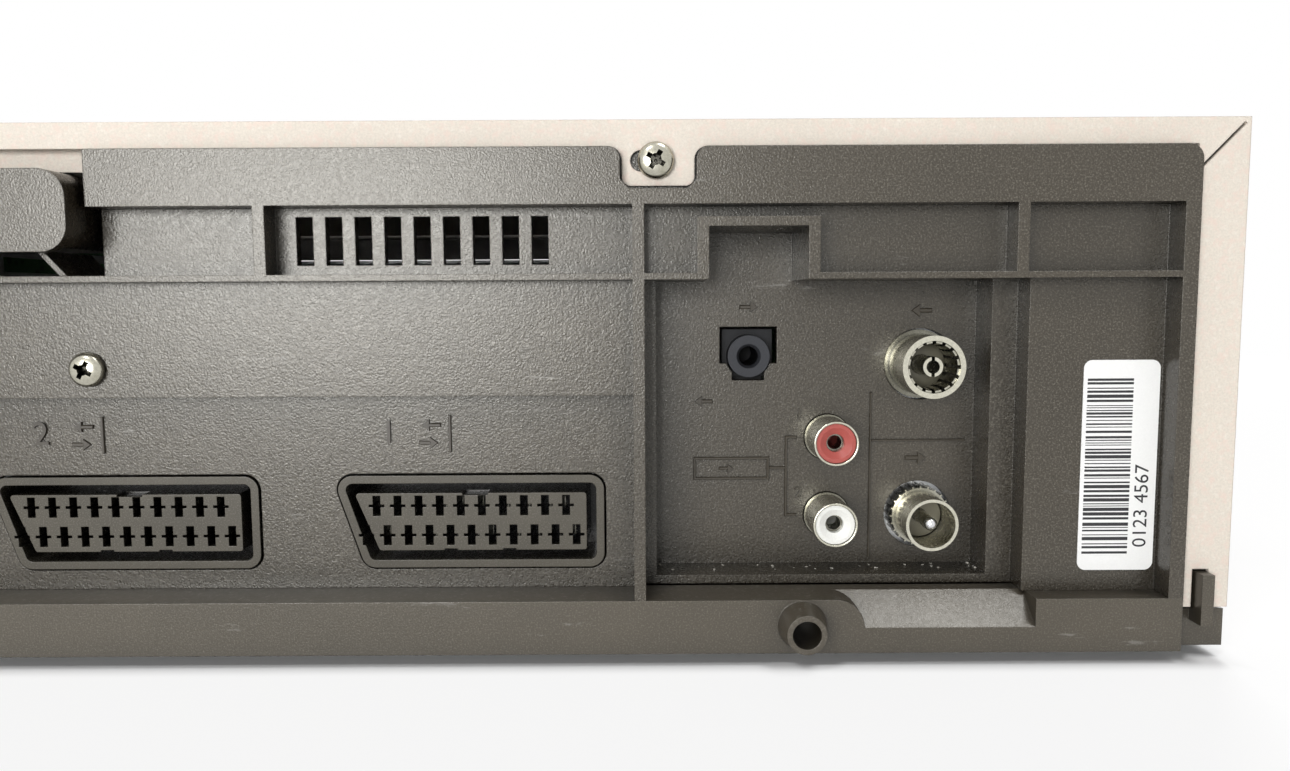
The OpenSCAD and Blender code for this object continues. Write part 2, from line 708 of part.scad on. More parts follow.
// 21-way socket: metal rim, insulating block and slots for the blades
av_depth = 17;
module av_socket(i) {
    x = x_av_1 + av_pitch * i;
    y_front = y_rim - lower_depth + 0.4;
    slot_w = 2.2;
    slot_h = 3.7;
    translate([x, 0, z_av]) {
        difference() {
            along_y(y_front - av_depth, y_front) av_outline(0);
            along_y(y_front - 12, y_front + 1) difference() {
                av_outline(-1.4);
                av_outline(-3.2);
            }
            for (k = [0 : 9]) {
                block_slot(17.15 - contact_pitch * k, 2.95, slot_w, slot_h, y_front);
                block_slot(15.3 - contact_pitch * k, -2.45, slot_w, slot_h, y_front);
            }
            block_slot(19.15, -2.45, slot_w, slot_h, y_front);
            block(-3, 1.6, y_front - 3, y_front + 1, av_h / 2 - 3.6, av_h / 2 - 3);
            block(2.6, 5, y_front - 3, y_front + 1, -av_h / 2 + 3, -av_h / 2 + 3.5);
            block(-8, -5.6, y_front - 3, y_front + 1, -av_h / 2 + 3, -av_h / 2 + 3.5);
        }
        block(-av_w / 2 + 4, av_w / 2 - 8, y_front - av_depth, y_front - 14, z_pcb_top - z_av,
            -av_h / 2 + 1);
    }
}

// One blade slot with its thin cross slit
module block_slot(x, z, w, h, y) {
    block(x - w / 2 + 0.4, x + w / 2 - 0.4, y - 8, y + 1, z - h / 2, z + h / 2);
    block(x - 1.4, x + 1.4, y - 8, y + 1, z - 0.25, z + 0.25);
}

module av_socket_1() color("black") {
    av_socket(0);
}

module av_socket_2() color("black") {
    av_socket(1);
}

// Aerial input: sprung ring round a split centre contact
can_y0 = y_aerial_floor - wall - 68;
can_y1 = y_aerial_floor - wall - 1;
module aerial_input() color("silver") {
    difference() {
        bar_y(x_tuner, z_aerial_in, can_y1, y_socket_front, aerial_in_dia);
        bar_y(x_tuner, z_aerial_in, can_y1 + 1.2, y_socket_front + 1, aerial_in_bore);
    }
    difference() {
        bar_y(x_tuner, z_aerial_in, can_y1 + 1, y_socket_front - 0.8, 3.6);
        bar_y(x_tuner, z_aerial_in, can_y1 + 2, y_socket_front, 2.4);
        block(x_tuner - 0.3, x_tuner + 0.3, can_y1 + 2, y_socket_front, z_aerial_in - 3, z_aerial_in + 3);
    }
    bar_y(x_tuner, z_aerial_in, can_y1, y_aerial_floor - 0.8, 13);
}

// Aerial output: plain sleeve round a centre pin, on a knurled base
module aerial_output() color("silver") {
    difference() {
        bar_y(x_tuner, z_aerial_out, can_y1, y_socket_front + 0.8, aerial_out_dia);
        bar_y(x_tuner, z_aerial_out, can_y1 + 1.2, y_socket_front + 2, aerial_out_dia - 1.1);
    }
    bar_y(x_tuner, z_aerial_out, can_y1 + 1, y_socket_front - 0.4, 2.4);
    difference() {
        along_y(can_y1, y_aerial_floor + 2.2) translate([x_tuner, z_aerial_out]) gear_outline(24, 11.4, 0.35);
        bar_y(x_tuner, z_aerial_out, can_y1 + 1.2, y_aerial_floor + 3, aerial_out_dia - 0.4);
    }
}

// Screened tuner and modulator can on the main board
can_w = 16;
module tuner_can() color("silver") {
    difference() {
        block(x_tuner - can_w / 2, x_tuner + can_w / 2, can_y0, can_y1, z_pcb_top, z_aerial_in + 9);
        for (z = [0 : 4]) {
            for (y = [0 : 5]) {
                bar_x_axis(can_y0 + 8 + 9 * y, z_pcb_top + 9 + 9 * z, x_tuner + can_w / 2 - 0.6,
                    x_tuner + can_w / 2 + 1, 3);
            }
        }
        block(x_tuner - can_w / 2 + 0.6, x_tuner - can_w / 2 + 1.2, can_y0 - 1, can_y1 - 4, z_aerial_in + 8.2,
            z_aerial_in + 10);
    }
}

// Insulating block that carries the two phono sockets, with their metal shells
module phono_block() color("gainsboro") {
    y1 = y_aerial_floor - wall - 0.3;
    difference() {
        union() {
            block(x_phono - 6, x_phono + 6, y1 - 12, y1, z_pcb_top, z_phono + phono_pitch + 7);
            for (i = [0, 1]) bar_y(x_phono, z_phono + phono_pitch * i, y1 - eps, y_socket_front, phono_dia);
            for (i = [0, 1]) {
                bar_y(x_phono, z_phono + phono_pitch * i, y1 - eps, y_aerial_floor + 0.4, phono_dia + 0.4);
            }
        }
        for (i = [0, 1]) {
            bar_y(x_phono, z_phono + phono_pitch * i, y1 - 2, y_socket_front + 1, phono_dia - 0.9);
        }
    }
}

// Coloured insert of a phono socket, face to face with the block's seat
module phono_insert(i) {
    y1 = y_aerial_floor - wall - 0.3;
    z = z_phono + phono_pitch * i;
    difference() {
        bar_y(x_phono, z, y1 - 2, y_socket_front - 0.3, phono_dia - 1);
        bar_y(x_phono, z, y1 - 1, y_socket_front + 1, 3.3);
        translate([x_phono, y_socket_front - 0.3 + eps, z]) rotate([90, 0, 0])
            cylinder(h = 0.8, d1 = phono_dia - 2.4, d2 = 3.2);
    }
}

module phono_red_insert() color("red") {
    phono_insert(1);
}

module phono_white_insert() color("white") {
    phono_insert(0);
}

// 3.5 mm jack on its own upright bracket
module control_jack() color("black") {
    y1 = y_aerial_floor - wall - 0.3;
    difference() {
        union() {
            block(x_jack - 4.8, x_jack + 4.8, y1 - 12, y1, z_jack - 4, z_jack + 5);
            block(x_jack - 3, x_jack + 3, y1 - 12, y1 - 1, z_pcb_top, z_jack);
            bar_y(x_jack, z_jack, y1 - eps, y_aerial_floor + 1.2, jack_dia);
        }
        bar_y(x_jack, z_jack, y1 - 9, y_aerial_floor + 2, 3.6);
        translate([x_jack, y_aerial_floor + 1.2 + eps, z_jack]) rotate([90, 0, 0])
            cylinder(h = 0.8, d1 = 4.6, d2 = 3.6);
    }
}

// Two-pin mains inlet with its cavity
inlet_w = 21;
inlet_h = 13;
module mains_inlet() color("black") {
    y1 = y_rim - pocket_depth + 0.4;
    difference() {
        union() {
            along_y(y1 - 20, y1) translate([x_inlet, z_inlet]) round_rect(inlet_w, inlet_h, 3);
            block(x_inlet - 8, x_inlet + 8, y1 - 20, y1 - 6, z_pcb_top, z_inlet);
        }
        along_y(y1 - 14, y1 + 1) translate([x_inlet, z_inlet]) {
            for (x = [-4.2, 4.2]) translate([x, 0]) circle(d = 8.6);
            square([6, 6.4], center = true);
        }
    }
    for (x = [-4.3, 4.3]) bar_y(x_inlet + x, z_inlet, y1 - 15, y1 - 5, 2.4);
}

// Main board with its low parts, in the rear left of the case
board_gap = 1;
module main_board() color("olivedrab") {
    x0 = -x_side + 8;
    x1 = bar_x - board_gap / 2;
    y0 = y_boards;
    y1 = y_rim - aerial_depth - wall - 3;
    difference() {
        block(x0, x1, y0, y1, z_pcb, z_pcb_top);
        both_sides() for (y = deck_post_y) post(bar_x, y, z_pcb - 1, z_pcb_top + 1, deck_post_d + 1);
    }
    for (i = [0 : 4]) {
        block(x0 + 12 + 13 * i, x0 + 20 + 13 * i, y0 + 8, y0 + 26, z_pcb_top, z_pcb_top + 3);
    }
    for (i = [0 : 5]) {
        post(x0 + 14 + 11 * i, y0 + 34 + 3 * (i % 2), z_pcb_top, z_pcb_top + 11, 6.3);
    }
    block(-60, -36, y1 - 32, y1 - 30 + 4, z_pcb_top, z_pcb_top + 8);
}

// Power board in the rear right of the case
module power_board() color("burlywood") {
    x0 = bar_x + board_gap / 2;
    x1 = x_side - 8;
    difference() {
        block(x0, x1, y_boards, y_rim - 12, z_pcb, z_pcb_top);
        for (y = deck_post_y) post(bar_x, y, z_pcb - 1, z_pcb_top + 1, deck_post_d + 1);
    }
    block(x0 + 14, x0 + 32, y_boards + 4, y_boards + 8, z_pcb_top, z_pcb_top + 9);
    bar_y(x1 - 12, z_pcb_top + 4, y_rim - 64, y_rim - 44, 5.2);
    block(x1 - 15, x1 - 9, y_rim - 66, y_rim - 62, z_pcb_top, z_pcb_top + 7.5);
    block(x1 - 15, x1 - 9, y_rim - 46, y_rim - 42, z_pcb_top, z_pcb_top + 7.5);
}

// Switching transformer: bobbin, winding and a two-part core
module transformer() color("goldenrod") {
    x = x_inlet - 4;
    y = y_rim - 88;
    block(x - 17, x + 17, y - 15, y + 15, z_pcb_top, z_pcb_top + 5);
    block(x - 20, x + 20, y - 7, y + 7, z_pcb_top + 5, z_pcb_top + 33);
    block(x - 12, x + 12, y - 14, y + 14, z_pcb_top + 11, z_pcb_top + 27);
}

// Electrolytic capacitors on the power board
module capacitors() color("navy") {
    post(x_side - 26, y_boards + 18, z_pcb_top, z_pcb_top + 36, 22);
    for (i = [0, 1]) post(bar_x + 20 + 12 * i, y_boards + 20, z_pcb_top, z_pcb_top + 20, 10);
}

// Finned aluminium heat sink with its transistor
module heat_sink() color("silver") {
    x = bar_x + 18;
    y0 = y_rim - 62;
    block(x, x + 3, y0, y0 + 34, z_pcb_top, z_pcb_top + 40);
    for (i = [0 : 4]) block(x - 9, x + eps, y0 + 8 * i, y0 + 8 * i + 1.8, z_pcb_top + 4, z_pcb_top + 40);
    block(x + 3, x + 7.5, y0 + 10, y0 + 20, z_pcb_top + 8, z_pcb_top + 28);
}

// Front panel: a shallow tray with all its openings
module front_panel() color("silver") {
    difference() {
        union() {
            front_shell();
            both_sides() block(door_w_gap / 2 + 0.4, door_w_gap / 2 + 3.4, y_face + face_t - eps,
                y_hinge + 3.2, z_hinge - 3.2, z_hinge + 4.5);
            bar_y(x_right_group, z_dial, y_face + face_t - eps, y_face + face_t + 4, neck_dia + 5);
            block(x_flap - flap_w / 2 - 2.4, x_flap + flap_w / 2 + 2.4, y_face + face_t - eps,
                y_front_back - 3.2, z_flap - flap_h / 2 - 2.4, z_flap + flap_h / 2 + 2.4);
        }
        block(-door_w_gap / 2, door_w_gap / 2, y_face - 1, y_front_back, z_door - door_h_gap / 2,
            z_door + door_h_gap / 2);
        both_sides() bar_x_axis(y_hinge, z_hinge, door_w_gap / 2, door_w_gap / 2 + 2.6,
            door_pin + 2 * running);
        window_seat();
        bar_y(x_right_group, z_dial, y_face - 1, y_front_back, neck_dia + 2 * running);
        for (b = buttons()) {
            along_y(y_face - 1, y_face + face_t + 1) translate([b[0], b[1]])
                button_outline(b, 2 * button_gap);
        }
        flap_pocket();
    }
}

module front_shell() {
    w = x_side;
    difference() {
        along_y(y_face, y_front_back) translate([0, (z_base + case_h) / 2])
            round_rect(2 * w, case_h - z_base, 2.5);
        block(-w + wall, w - wall, y_face + face_t, y_front_back + 1, z_base + wall, case_h - wall);
    }
}

// Window opening with a step that the window rests on
module window_seat() {
    along_y(y_face - 1, y_face + face_t + 1) translate([0, z_window])
        round_rect(window_w - 3, window_h - 3, 2);
    along_y(y_face - 1, y_face + 1.2) translate([0, z_window])
        round_rect(window_w + 0.3, window_h + 0.3, 3.15);
}

// Recess that holds the front jacks behind the flap
module flap_pocket() {
    w = flap_w / 2;
    block(x_flap - w - 0.3, x_flap + w + 0.3, y_face - 1, y_face + flap_t + 0.3, z_flap - flap_h / 2 - 0.3,
        z_flap + flap_h / 2 + 0.3);
    block(x_flap - w + 2, x_flap + w - 2, y_face, y_front_back - 5.2, z_flap - flap_h / 2 + 5,
        z_flap + flap_h / 2 - 1.5);
    for (i = [-1 : 1]) bar_y(x_flap + 16 * i, z_flap, y_face, y_front_back, phono_dia + 2 * socket_gap);
    for (s = [-1, 1]) {
        bar_x_axis(y_flap_hinge, z_flap_hinge, x_flap + s * (w + 1) - 1.1, x_flap + s * (w + 1) + 1.1,
            flap_pin + 2 * running);
    }
    block(x_flap - w - 0.3, x_flap + w + 0.3, y_face - 1, y_flap_hinge + 2.6, z_flap - flap_h / 2 - 0.3,
        z_flap_hinge + 2.6);
}

// Cassette door with its two hinge pins
module cassette_door() color("gray") {
    difference() {
        union() {
            block(-door_w / 2, door_w / 2, y_face, y_face + door_t, z_door - door_h / 2, z_door + door_h / 2);
            both_sides() bar_x_axis(y_hinge, z_hinge, door_w / 2 - 3, door_w / 2, 4);
            both_sides() bar_x_axis(y_hinge, z_hinge, door_w / 2 - eps, door_w_gap / 2 + 2.4, door_pin);
            block(-door_w / 2 + 6, door_w / 2 - 6, y_face + door_t - eps, y_face + door_t + 1,
                z_door - door_h / 2 + 3, z_door - door_h / 2 + 4.2);
        }
        block(-80, 80, y_face - 1, y_face + 0.5, z_door - 6, z_door - 5.4);
    }
}

module display_window() color([0.1, 0.1, 0.12]) {
    along_y(y_face - 0.2, y_face + 1.2) translate([0, z_window]) round_rect(window_w, window_h, 3);
    along_y(y_face + 1.2 - eps, y_face + face_t) translate([0, z_window])
        round_rect(window_w - 3.3, window_h - 3.3, 1.85);
}

// Glass display tube standing in front of the board
module display_tube() color("darkcyan") {
    block(-50, 50, y_board - 6, y_board - 3, z_window - 11, z_window + 11);
    for (x = [-46, 46]) block(x - 2, x + 2, y_board - 3, y_board, z_window - 3, z_window + 3);
}

// Front circuit board with switches and the jog encoder
module front_board() color("olivedrab") {
    y1 = y_board + pcb_t;
    difference() {
        block(-x_side + 10, x_side - 10, y_board, y1, z_rail, case_h - 8);
        block(-door_w_gap / 2 - 5, door_w_gap / 2 + 5, y_board - 1, y1 + 1, z_window + window_h / 2 + 2,
            case_h);
    }
    for (b = buttons()) block(b[0] - 3, b[0] + 3, y_front_back - 0.5, y_board, b[1] - 3, b[1] + 3);
    difference() {
        block(x_right_group - 8, x_right_group + 8, y_front_back - 2.6, y_board, z_dial - 8, z_dial + 8);
        bar_y(x_right_group, z_dial, y_front_back - 3, y_front_back + 1, jog_stem + 2 * running);
    }
}

// Front jack block with three phono sockets
module front_jacks() color("dimgray") {
    difference() {
        union() {
            block(x_flap - 24, x_flap + 24, y_front_back - 2.9, y_board, z_flap - 8, z_flap + 8);
            for (i = [-1 : 1]) {
                bar_y(x_flap + 16 * i, z_flap, y_front_back - 6.5, y_front_back - 2.8, phono_dia);
            }
        }
        for (i = [-1 : 1]) bar_y(x_flap + 16 * i, z_flap, y_front_back - 7, y_front_back, 3.3);
    }
}

// Flap over the front jacks, hinged along its low edge
module jack_flap() color("gray") {
    w = flap_w / 2;
    difference() {
        block(x_flap - w, x_flap + w, y_face, y_face + flap_t, z_flap_hinge, z_flap + flap_h / 2);
        translate([x_flap, y_face, z_flap + flap_h / 2]) rotate([90, 0, 0]) translate([0, 0, -1])
            cylinder(h = 2, r = 4);
    }
    along_x(x_flap - w, x_flap + w) translate([y_flap_hinge, z_flap_hinge]) circle(flap_t);
    bar_x_axis(y_flap_hinge, z_flap_hinge, x_flap - w - 1.8, x_flap + w + 1.8, flap_pin);
}

// Shuttle ring on its neck, and the jog dial that turns inside it
neck_dia = 20;
jog_stem = 6;
module shuttle_ring() color("lightgray") {
    difference() {
        union() {
            bar_y(x_right_group, z_dial, y_face - 2.6, y_face - 0.3, shuttle_dia);
            bar_y(x_right_group, z_dial, y_face - 1, y_face + face_t + 2.5, neck_dia);
        }
        bar_y(x_right_group, z_dial, y_face - 3, y_face - 1.2, jog_dia + 0.6);
        bar_y(x_right_group, z_dial, y_face - 3, y_front_back, jog_stem + 1.2);
        for (i = [0 : 23]) {
            translate([x_right_group, y_face - 3, z_dial]) rotate([0, 15 * i, 0])
                translate([shuttle_dia / 2, 0, 0]) cube([1.2, 4, 1.6], center = true);
        }
    }
}

module jog_dial() color("silver") {
    difference() {
        union() {
            bar_y(x_right_group, z_dial, y_face - dial_out, y_face - 1.5, jog_dia);
            bar_y(x_right_group, z_dial, y_face - 1.6, y_front_back - 0.2, jog_stem);
        }
        translate([x_right_group + jog_dia / 2 - 7, y_face - dial_out - 3.4, z_dial]) sphere(d = 10);
    }
}

// Push buttons: place, size and whether it is round
function buttons() = [
    [x_left_group - 26, z_top_row, 14, 14, 7],
    [x_left_group + 16, z_top_row, button_w, button_h, 2.5],
    [x_left_group + 16, z_low_row, button_w / 2 + 4, button_h, 2.5],
    [x_left_group - 2, z_low_row, button_w / 2 + 4, button_h, 2.5],
    [x_right_group - 24, z_top_row, button_w, button_h, 2.5],
    [x_right_group, z_top_row, button_w, button_h, 2.5],
    [x_right_group + 24, z_top_row, button_w, button_h, 2.5],
    [x_right_group - 24, z_low_row, button_w, button_h, 2.5],
    [x_right_group, z_low_row, button_w, button_h, 2.5],
    [x_right_group + 24, z_low_row, button_w, button_h, 2.5]];

module button_outline(b, grow) {
    if (b[4] > 6) {
        circle(d = b[2] + grow);
    } else {
        round_rect(b[2] + grow, b[3] + grow, b[4] + grow / 2 - 0.01);
    }
}

// One button: cap, hidden flange and the stem that presses its switch
module push_button(i) {
    b = buttons()[i];
    y_stop = y_face + face_t + button_travel - 0.5;
    translate([b[0], 0, b[1]]) {
        along_y(y_face - 1.2, y_stop + eps) button_outline(b, 0);
        along_y(y_face + face_t + 0.3, y_face + face_t + 1.3) square([b[2] + 1.6, b[3] + 1.6], center = true);
        bar_y(0, 0, y_face + face_t + 1.2, y_front_back - 0.5 - button_travel - 0.1, 3);
    }
}

module power_button() color("white") {
    push_button(0);
}

module eject_button() color("white") {
    push_button(1);
}

module channel_up_button() color("white") {
    push_button(2);
}

module channel_down_button() color("white") {
    push_button(3);
}

module rewind_button() color("white") {
    push_button(4);
}

module play_button() color("white") {
    push_button(5);
}

module forward_button() color("white") {
    push_button(6);
}

module stop_button() color("white") {
    push_button(7);
}

module pause_button() color("white") {
    push_button(8);
}

module record_button() color("red") {
    push_button(9);
}

// Deck plate: pressed steel with slots for the guides and holes for shafts
bearing_dia = 9;
module deck_plate() color("lightsteelblue") {
    difference() {
        block(-bar_x - deck_over, bar_x + deck_over, y_reel - deck_front, y_reel + deck_rear, z_deck - deck_t,
            z_deck);
        both_sides() for (y = deck_post_y) post(bar_x, y, z_deck - deck_t - 1, z_deck + 1, screw_shank + 0.4);
        both_sides() guide_slot();
        post(x_capstan, y_capstan, z_deck - deck_t - 1, z_deck + 1, bearing_dia);
        both_sides() block(20, 70, y_reel - 52, y_reel - 36, z_deck - deck_t - 1, z_deck + 1);
        block(-30, 30, y_reel + 25, y_reel + 42, z_deck - deck_t - 1, z_deck + 1);
    }
}

// Slot along which a guide post travels
slot_w = 3.2;
module guide_slot() {
    run = sqrt(pow(guide_run, 2) + pow(guide_end_x - guide_rest_x, 2));
    turn = atan2(guide_run, guide_end_x - guide_rest_x);
    translate([guide_rest_x, y_guide, z_deck - deck_t - 1]) rotate(turn) translate([run / 2, 0, 0])
        linear_extrude(deck_t + 2) round_rect(run + 2 * slot_w, slot_w, slot_w / 2 - 0.01);
}

// Fixed pieces on the deck: heads, posts, bearings, stops and the loading motor
rest_x = 68;
rest_y = [y_reel - 36, y_reel + 34];
rest_h = 7.8;
module deck_fittings() color("gray") {
    both_sides() for (y = rest_y) post(rest_x, y, z_deck, z_deck + rest_h, 6);
    for (x = [-x_reel, x_reel]) post(x, y_reel, z_deck, z_deck + 14, 3);
    erase_head();
    sound_head();
    impedance_roller();
    post(x_pinch_pivot, y_pinch_pivot, z_deck, z_deck + 12, 4);
    post(x_tension, y_tension, z_deck, z_deck + 12, 4);
    post(0, y_idler, z_deck, z_deck + 9, 3);
    post(x_cam, y_cam, z_deck, z_deck + 9, 4);
    capstan_bearing();
    loading_motor();
    both_sides() for (y = deck_post_y) {
        translate([bar_x, y, z_deck]) screw_down(5.6, screw_shank, 8);
    }
}

module erase_head() {
    x = -59;
    y = y_reel + 79;
    block(x - 6, x + 6, y - 5, y + 5, z_deck, z_deck + 5);
    block(x - 5, x + 5, y - 3, y + 3, z_deck + 5, z_deck + 24);
}

module sound_head() {
    x = 46.5;
    y = y_reel + 70;
    block(x - 4.5, x + 4.5, y - 4.5, y + 4.5, z_deck + 1, z_deck + 4);
    block(x - 4, x + 4, y - 2.5, y + 4, z_deck + 4, z_deck + 24);
    post(x, y + 2, z_deck, z_deck + 1, 4);
}

module impedance_roller() {
    x = -49;
    y = y_reel + 92;
    post(x, y, z_deck, z_deck + 6, 3);
    post(x, y, z_deck + 6, z_deck + 24, 7);
    post(x, y, z_deck + 24, z_deck + 25, 9);
}

// Bearing sleeve that the capstan turns in
module capstan_bearing() {
    translate([x_capstan, y_capstan, z_deck]) difference() {
        union() {
            translate([0, 0, -deck_t - 1]) cylinder(h = deck_t + 5, d = bearing_dia - 0.1);
            cylinder(h = 1.2, d = bearing_dia + 5);
        }
        translate([0, 0, -deck_t - 2]) cylinder(h = deck_t + 8, d = capstan_dia + 2 * running);
    }
}

// Loading motor lying along Y, with its saddle
motor_dia = 20;
x_worm = x_cam + cam_dia / 2 + worm_dia / 2 + 0.3;
y_motor = y_cam + 14;
z_worm = z_deck + 11.5;
module loading_motor() {
    bar_y(x_worm, z_worm, y_motor, y_motor + 22, motor_dia);
    block(x_worm - 7, x_worm + 7, y_motor + 2, y_motor + 20, z_deck, z_worm - 6);
}

// Fixed side plates with the level slots that the slides run in
lug_dia = 4;
slot_gap = 0.3;
slide_lug_y = [y_holder + 8, y_holder + 42];
z_lug = z_holder + cassette_h - 1;
module carriage_sides() color("silver") {
    y0 = y_holder + 1;
    y1 = y_holder + holder_depth + holder_in + 6;
    both_sides() difference() {
        union() {
            block(x_carriage, x_carriage + 1.2, y0, y1, z_deck, z_holder + cassette_h + 4);
            block(x_carriage, x_carriage + 9, y0 + 12, y1 - 12, z_deck, z_deck + 1.2);
        }
        block(x_carriage - 1, x_carriage + 2, slide_lug_y[0] - 2.5, slide_lug_y[1] + holder_in + 2.5,
            z_lug - lug_dia / 2 - slot_gap, z_lug + lug_dia / 2 + slot_gap);
        block(x_carriage - 1, x_carriage + 2, y0 + 20, y1 - 20, z_deck + 8, z_holder);
    }
}

// Slides that carry the holder inwards, with upright slots for its pins
holder_pin_y = [y_holder + 14, y_holder + 36];
z_pin = z_holder + 12;
module holder_slides() color("lightgray") {
    both_sides() {
        difference() {
            block(x_slide, x_slide + slide_t, y_holder + 4, y_holder + 46, z_pin - holder_drop - 6,
                z_lug + 3);
            for (y = holder_pin_y) {
                block(x_slide - 1, x_slide + 2, y - lug_dia / 2 - slot_gap, y + lug_dia / 2 + slot_gap,
                    z_pin - holder_drop - lug_dia / 2 - slot_gap, z_pin + lug_dia / 2 + slot_gap);
            }
        }
        for (y = slide_lug_y) bar_x_axis(y, z_lug, x_slide + slide_t - eps, x_carriage + 1.8, lug_dia);
    }
}

// Cassette holder: top plate, two sides with inward flanges, rear stops and guide pins
holder_t = 0.8;
module cassette_holder() color("silver") {
    y0 = y_holder;
    y1 = y_holder + holder_depth;
    z1 = z_holder + cassette_h + 1;
    difference() {
        block(-holder_half, holder_half, y0, y1, z1, z1 + holder_t);
        both_sides() block(20, 80, y0 + 12, y1 - 12, z1 - 1, z1 + 2);
    }
    both_sides() block(holder_half - holder_t, holder_half, y0, y1, z_holder - holder_t, z1 + eps);
    both_sides() block(holder_half - 21, holder_half, y0, y1, z_holder - holder_t, z_holder);
    both_sides() block(holder_half - 8, holder_half - holder_t + eps, y1 - holder_t, y1, z_holder - eps,
        z_holder + 18);
    both_sides() for (y = holder_pin_y) {
        bar_x_axis(y, z_pin, holder_half - eps, x_slide + slide_t + 0.3, lug_dia);
    }
}

// Lower drum on its base, leaning with the tape's helix
module drum_frame() {
    translate([0, y_drum, z_drum]) rotate([0, drum_tilt, 0]) children();
}

drum_gap = 0.3;
drum_shaft = 4;
module lower_drum() color("silver") {
    difference() {
        union() {
            block(-26, 26, y_drum - 22, y_drum + 22, z_deck, z_drum + 1);
            drum_frame() cylinder(h = lower_drum_h, d = drum_dia);
        }
        block(-40, 40, y_drum - 40, y_drum + 40, z_deck - 6, z_deck);
        drum_frame() translate([0, 0, 4]) cylinder(h = lower_drum_h, d = drum_shaft + 2 * running);
        drum_frame() translate([0, 0, lower_drum_h - 3]) difference() {
            cylinder(h = 0.6, d = drum_dia + 2);
            translate([0, 0, -1]) cylinder(h = 3, d = drum_dia - 0.6);
        }
    }
}

// Upper drum with its shaft, head windows and motor rotor
module upper_drum() color("gainsboro") {
    z0 = lower_drum_h + drum_gap;
    drum_frame() {
        difference() {
            translate([0, 0, z0]) cylinder(h = upper_drum_h, d = drum_dia);
            for (i = [0 : 3]) {
                rotate(90 * i) translate([drum_dia / 2 - 2, -2, z0 - 1]) cube([4, 4, 2.6]);
            }
            for (i = [0 : 2]) {
                rotate(120 * i + 30) translate([drum_dia / 2 - 9, 0, z0 + 4]) cylinder(h = 20, d = 4);
            }
        }
        translate([0, 0, z0 + upper_drum_h - eps]) cylinder(h = 5, d = 40);
        translate([0, 0, z0 + upper_drum_h + 5 - 2 * eps]) cylinder(h = 2, d = 8);
        translate([0, 0, 5]) cylinder(h = z0 - 4, d = drum_shaft);
    }
}

// Capstan shaft with its flywheel and pulley under the deck
module capstan() color("gainsboro") {
    z0 = z_pcb_top + 1.6;
    post(x_capstan, y_capstan, z0, z_deck + 26, capstan_dia);
    difference() {
        post(x_capstan, y_capstan, z0, z0 + 6, flywheel_dia);
        for (i = [0 : 5]) {
            translate([x_capstan, y_capstan, z0 + 2]) rotate(60 * i) translate([flywheel_dia / 3.2, 0, 0])
                cylinder(h = 6, d = 8);
        }
    }
}

// Pinch arm on its pivot post
module pinch_arm() color("lightgray") {
    difference() {
        union() {
            translate([x_pinch_pivot, y_pinch_pivot, z_deck + 1.6]) rotate(pinch_rest)
                translate([pinch_reach / 2, 0, 0]) linear_extrude(2) round_rect(pinch_reach + 7, 7, 3.49);
            post(x_pinch_pivot, y_pinch_pivot, z_deck + 1, z_deck + 10, 8);
            post(x_pinch, y_pinch, z_deck + 1.6, z_deck + 24, 3);
        }
        post(x_pinch_pivot, y_pinch_pivot, z_deck, z_deck + 11, 4 + 2 * running);
    }
}

module pinch_roller() color("black") {
    difference() {
        post(x_pinch, y_pinch, z_deck + 5, z_deck + 22, pinch_dia);
        post(x_pinch, y_pinch, z_deck + 4, z_deck + 23, 3 + 2 * running);
    }
}

// Reel table: toothed rim, hub and a three-winged spindle
reel_teeth = 44;
module reel_table() {
    difference() {
        union() {
            translate([0, 0, z_reel]) linear_extrude(3) gear_outline(reel_teeth, reel_dia, 1.2);
            post(0, 0, z_reel, z_reel + 5, 24);
            post(0, 0, z_reel, z_reel + 18, 8);
            for (i = [0 : 2]) {
                rotate(120 * i) translate([3, -1, z_reel + 4]) cube([4, 2, 11]);
            }
        }
        post(0, 0, z_reel - 1, z_deck + 14.4, 3 + 2 * running);
    }
}

module supply_reel() color("white") {
    translate([-x_reel, y_reel, 0]) reel_table();
}

module take_up_reel() color("white") {
    translate([x_reel, y_reel, 0]) reel_table();
}

// Idler arm on its post, with the small gear at its end
idler_end = [idler_reach * sin(idler_swing), y_idler - y_reel - idler_reach * cos(idler_swing)];
idler_dia = 2 * (norm([x_reel - idler_end[0], idler_end[1]]) - reel_dia / 2 - 0.4);
module idler_arm() color("gray") {
    difference() {
        union() {
            post(0, y_idler, z_deck + 5, z_deck + 8.5, 8);
            block(-3, 3, y_idler - idler_reach - 2, y_idler, z_deck + 5, z_deck + 6.6);
            post(0, y_idler - idler_reach, z_deck + 0.6, z_deck + 6.6, 3);
        }
        post(0, y_idler, z_deck, z_deck + 10, 3 + 2 * running);
    }
}

module idler_gear() color("white") {
    translate([0, y_idler - idler_reach, z_reel]) difference() {
        linear_extrude(3) gear_outline(26, idler_dia, 1.2);
        translate([0, 0, -1]) cylinder(h = 5, d = 3 + 2 * running);
    }
}

// Guide post on its slider
module guide(side) {
    x = side * guide_rest_x;
    post(x, y_guide, z_deck + 0.2, z_deck + 4, 8);
    post(x, y_guide, z_deck - deck_t - 0.2, z_deck + 0.3, slot_w - 0.6);
    post(x, y_guide, z_deck + 3.9, z_deck + 24, 5);
    post(x, y_guide, z_deck + 23.9, z_deck + 25, 7);
    post(x, y_guide, z_deck - deck_t - 1.6, z_deck - deck_t - 0.2 + eps, 7);
}

module supply_guide() color("silver") {
    guide(-1);
}

module take_up_guide() color("silver") {
    guide(1);
}

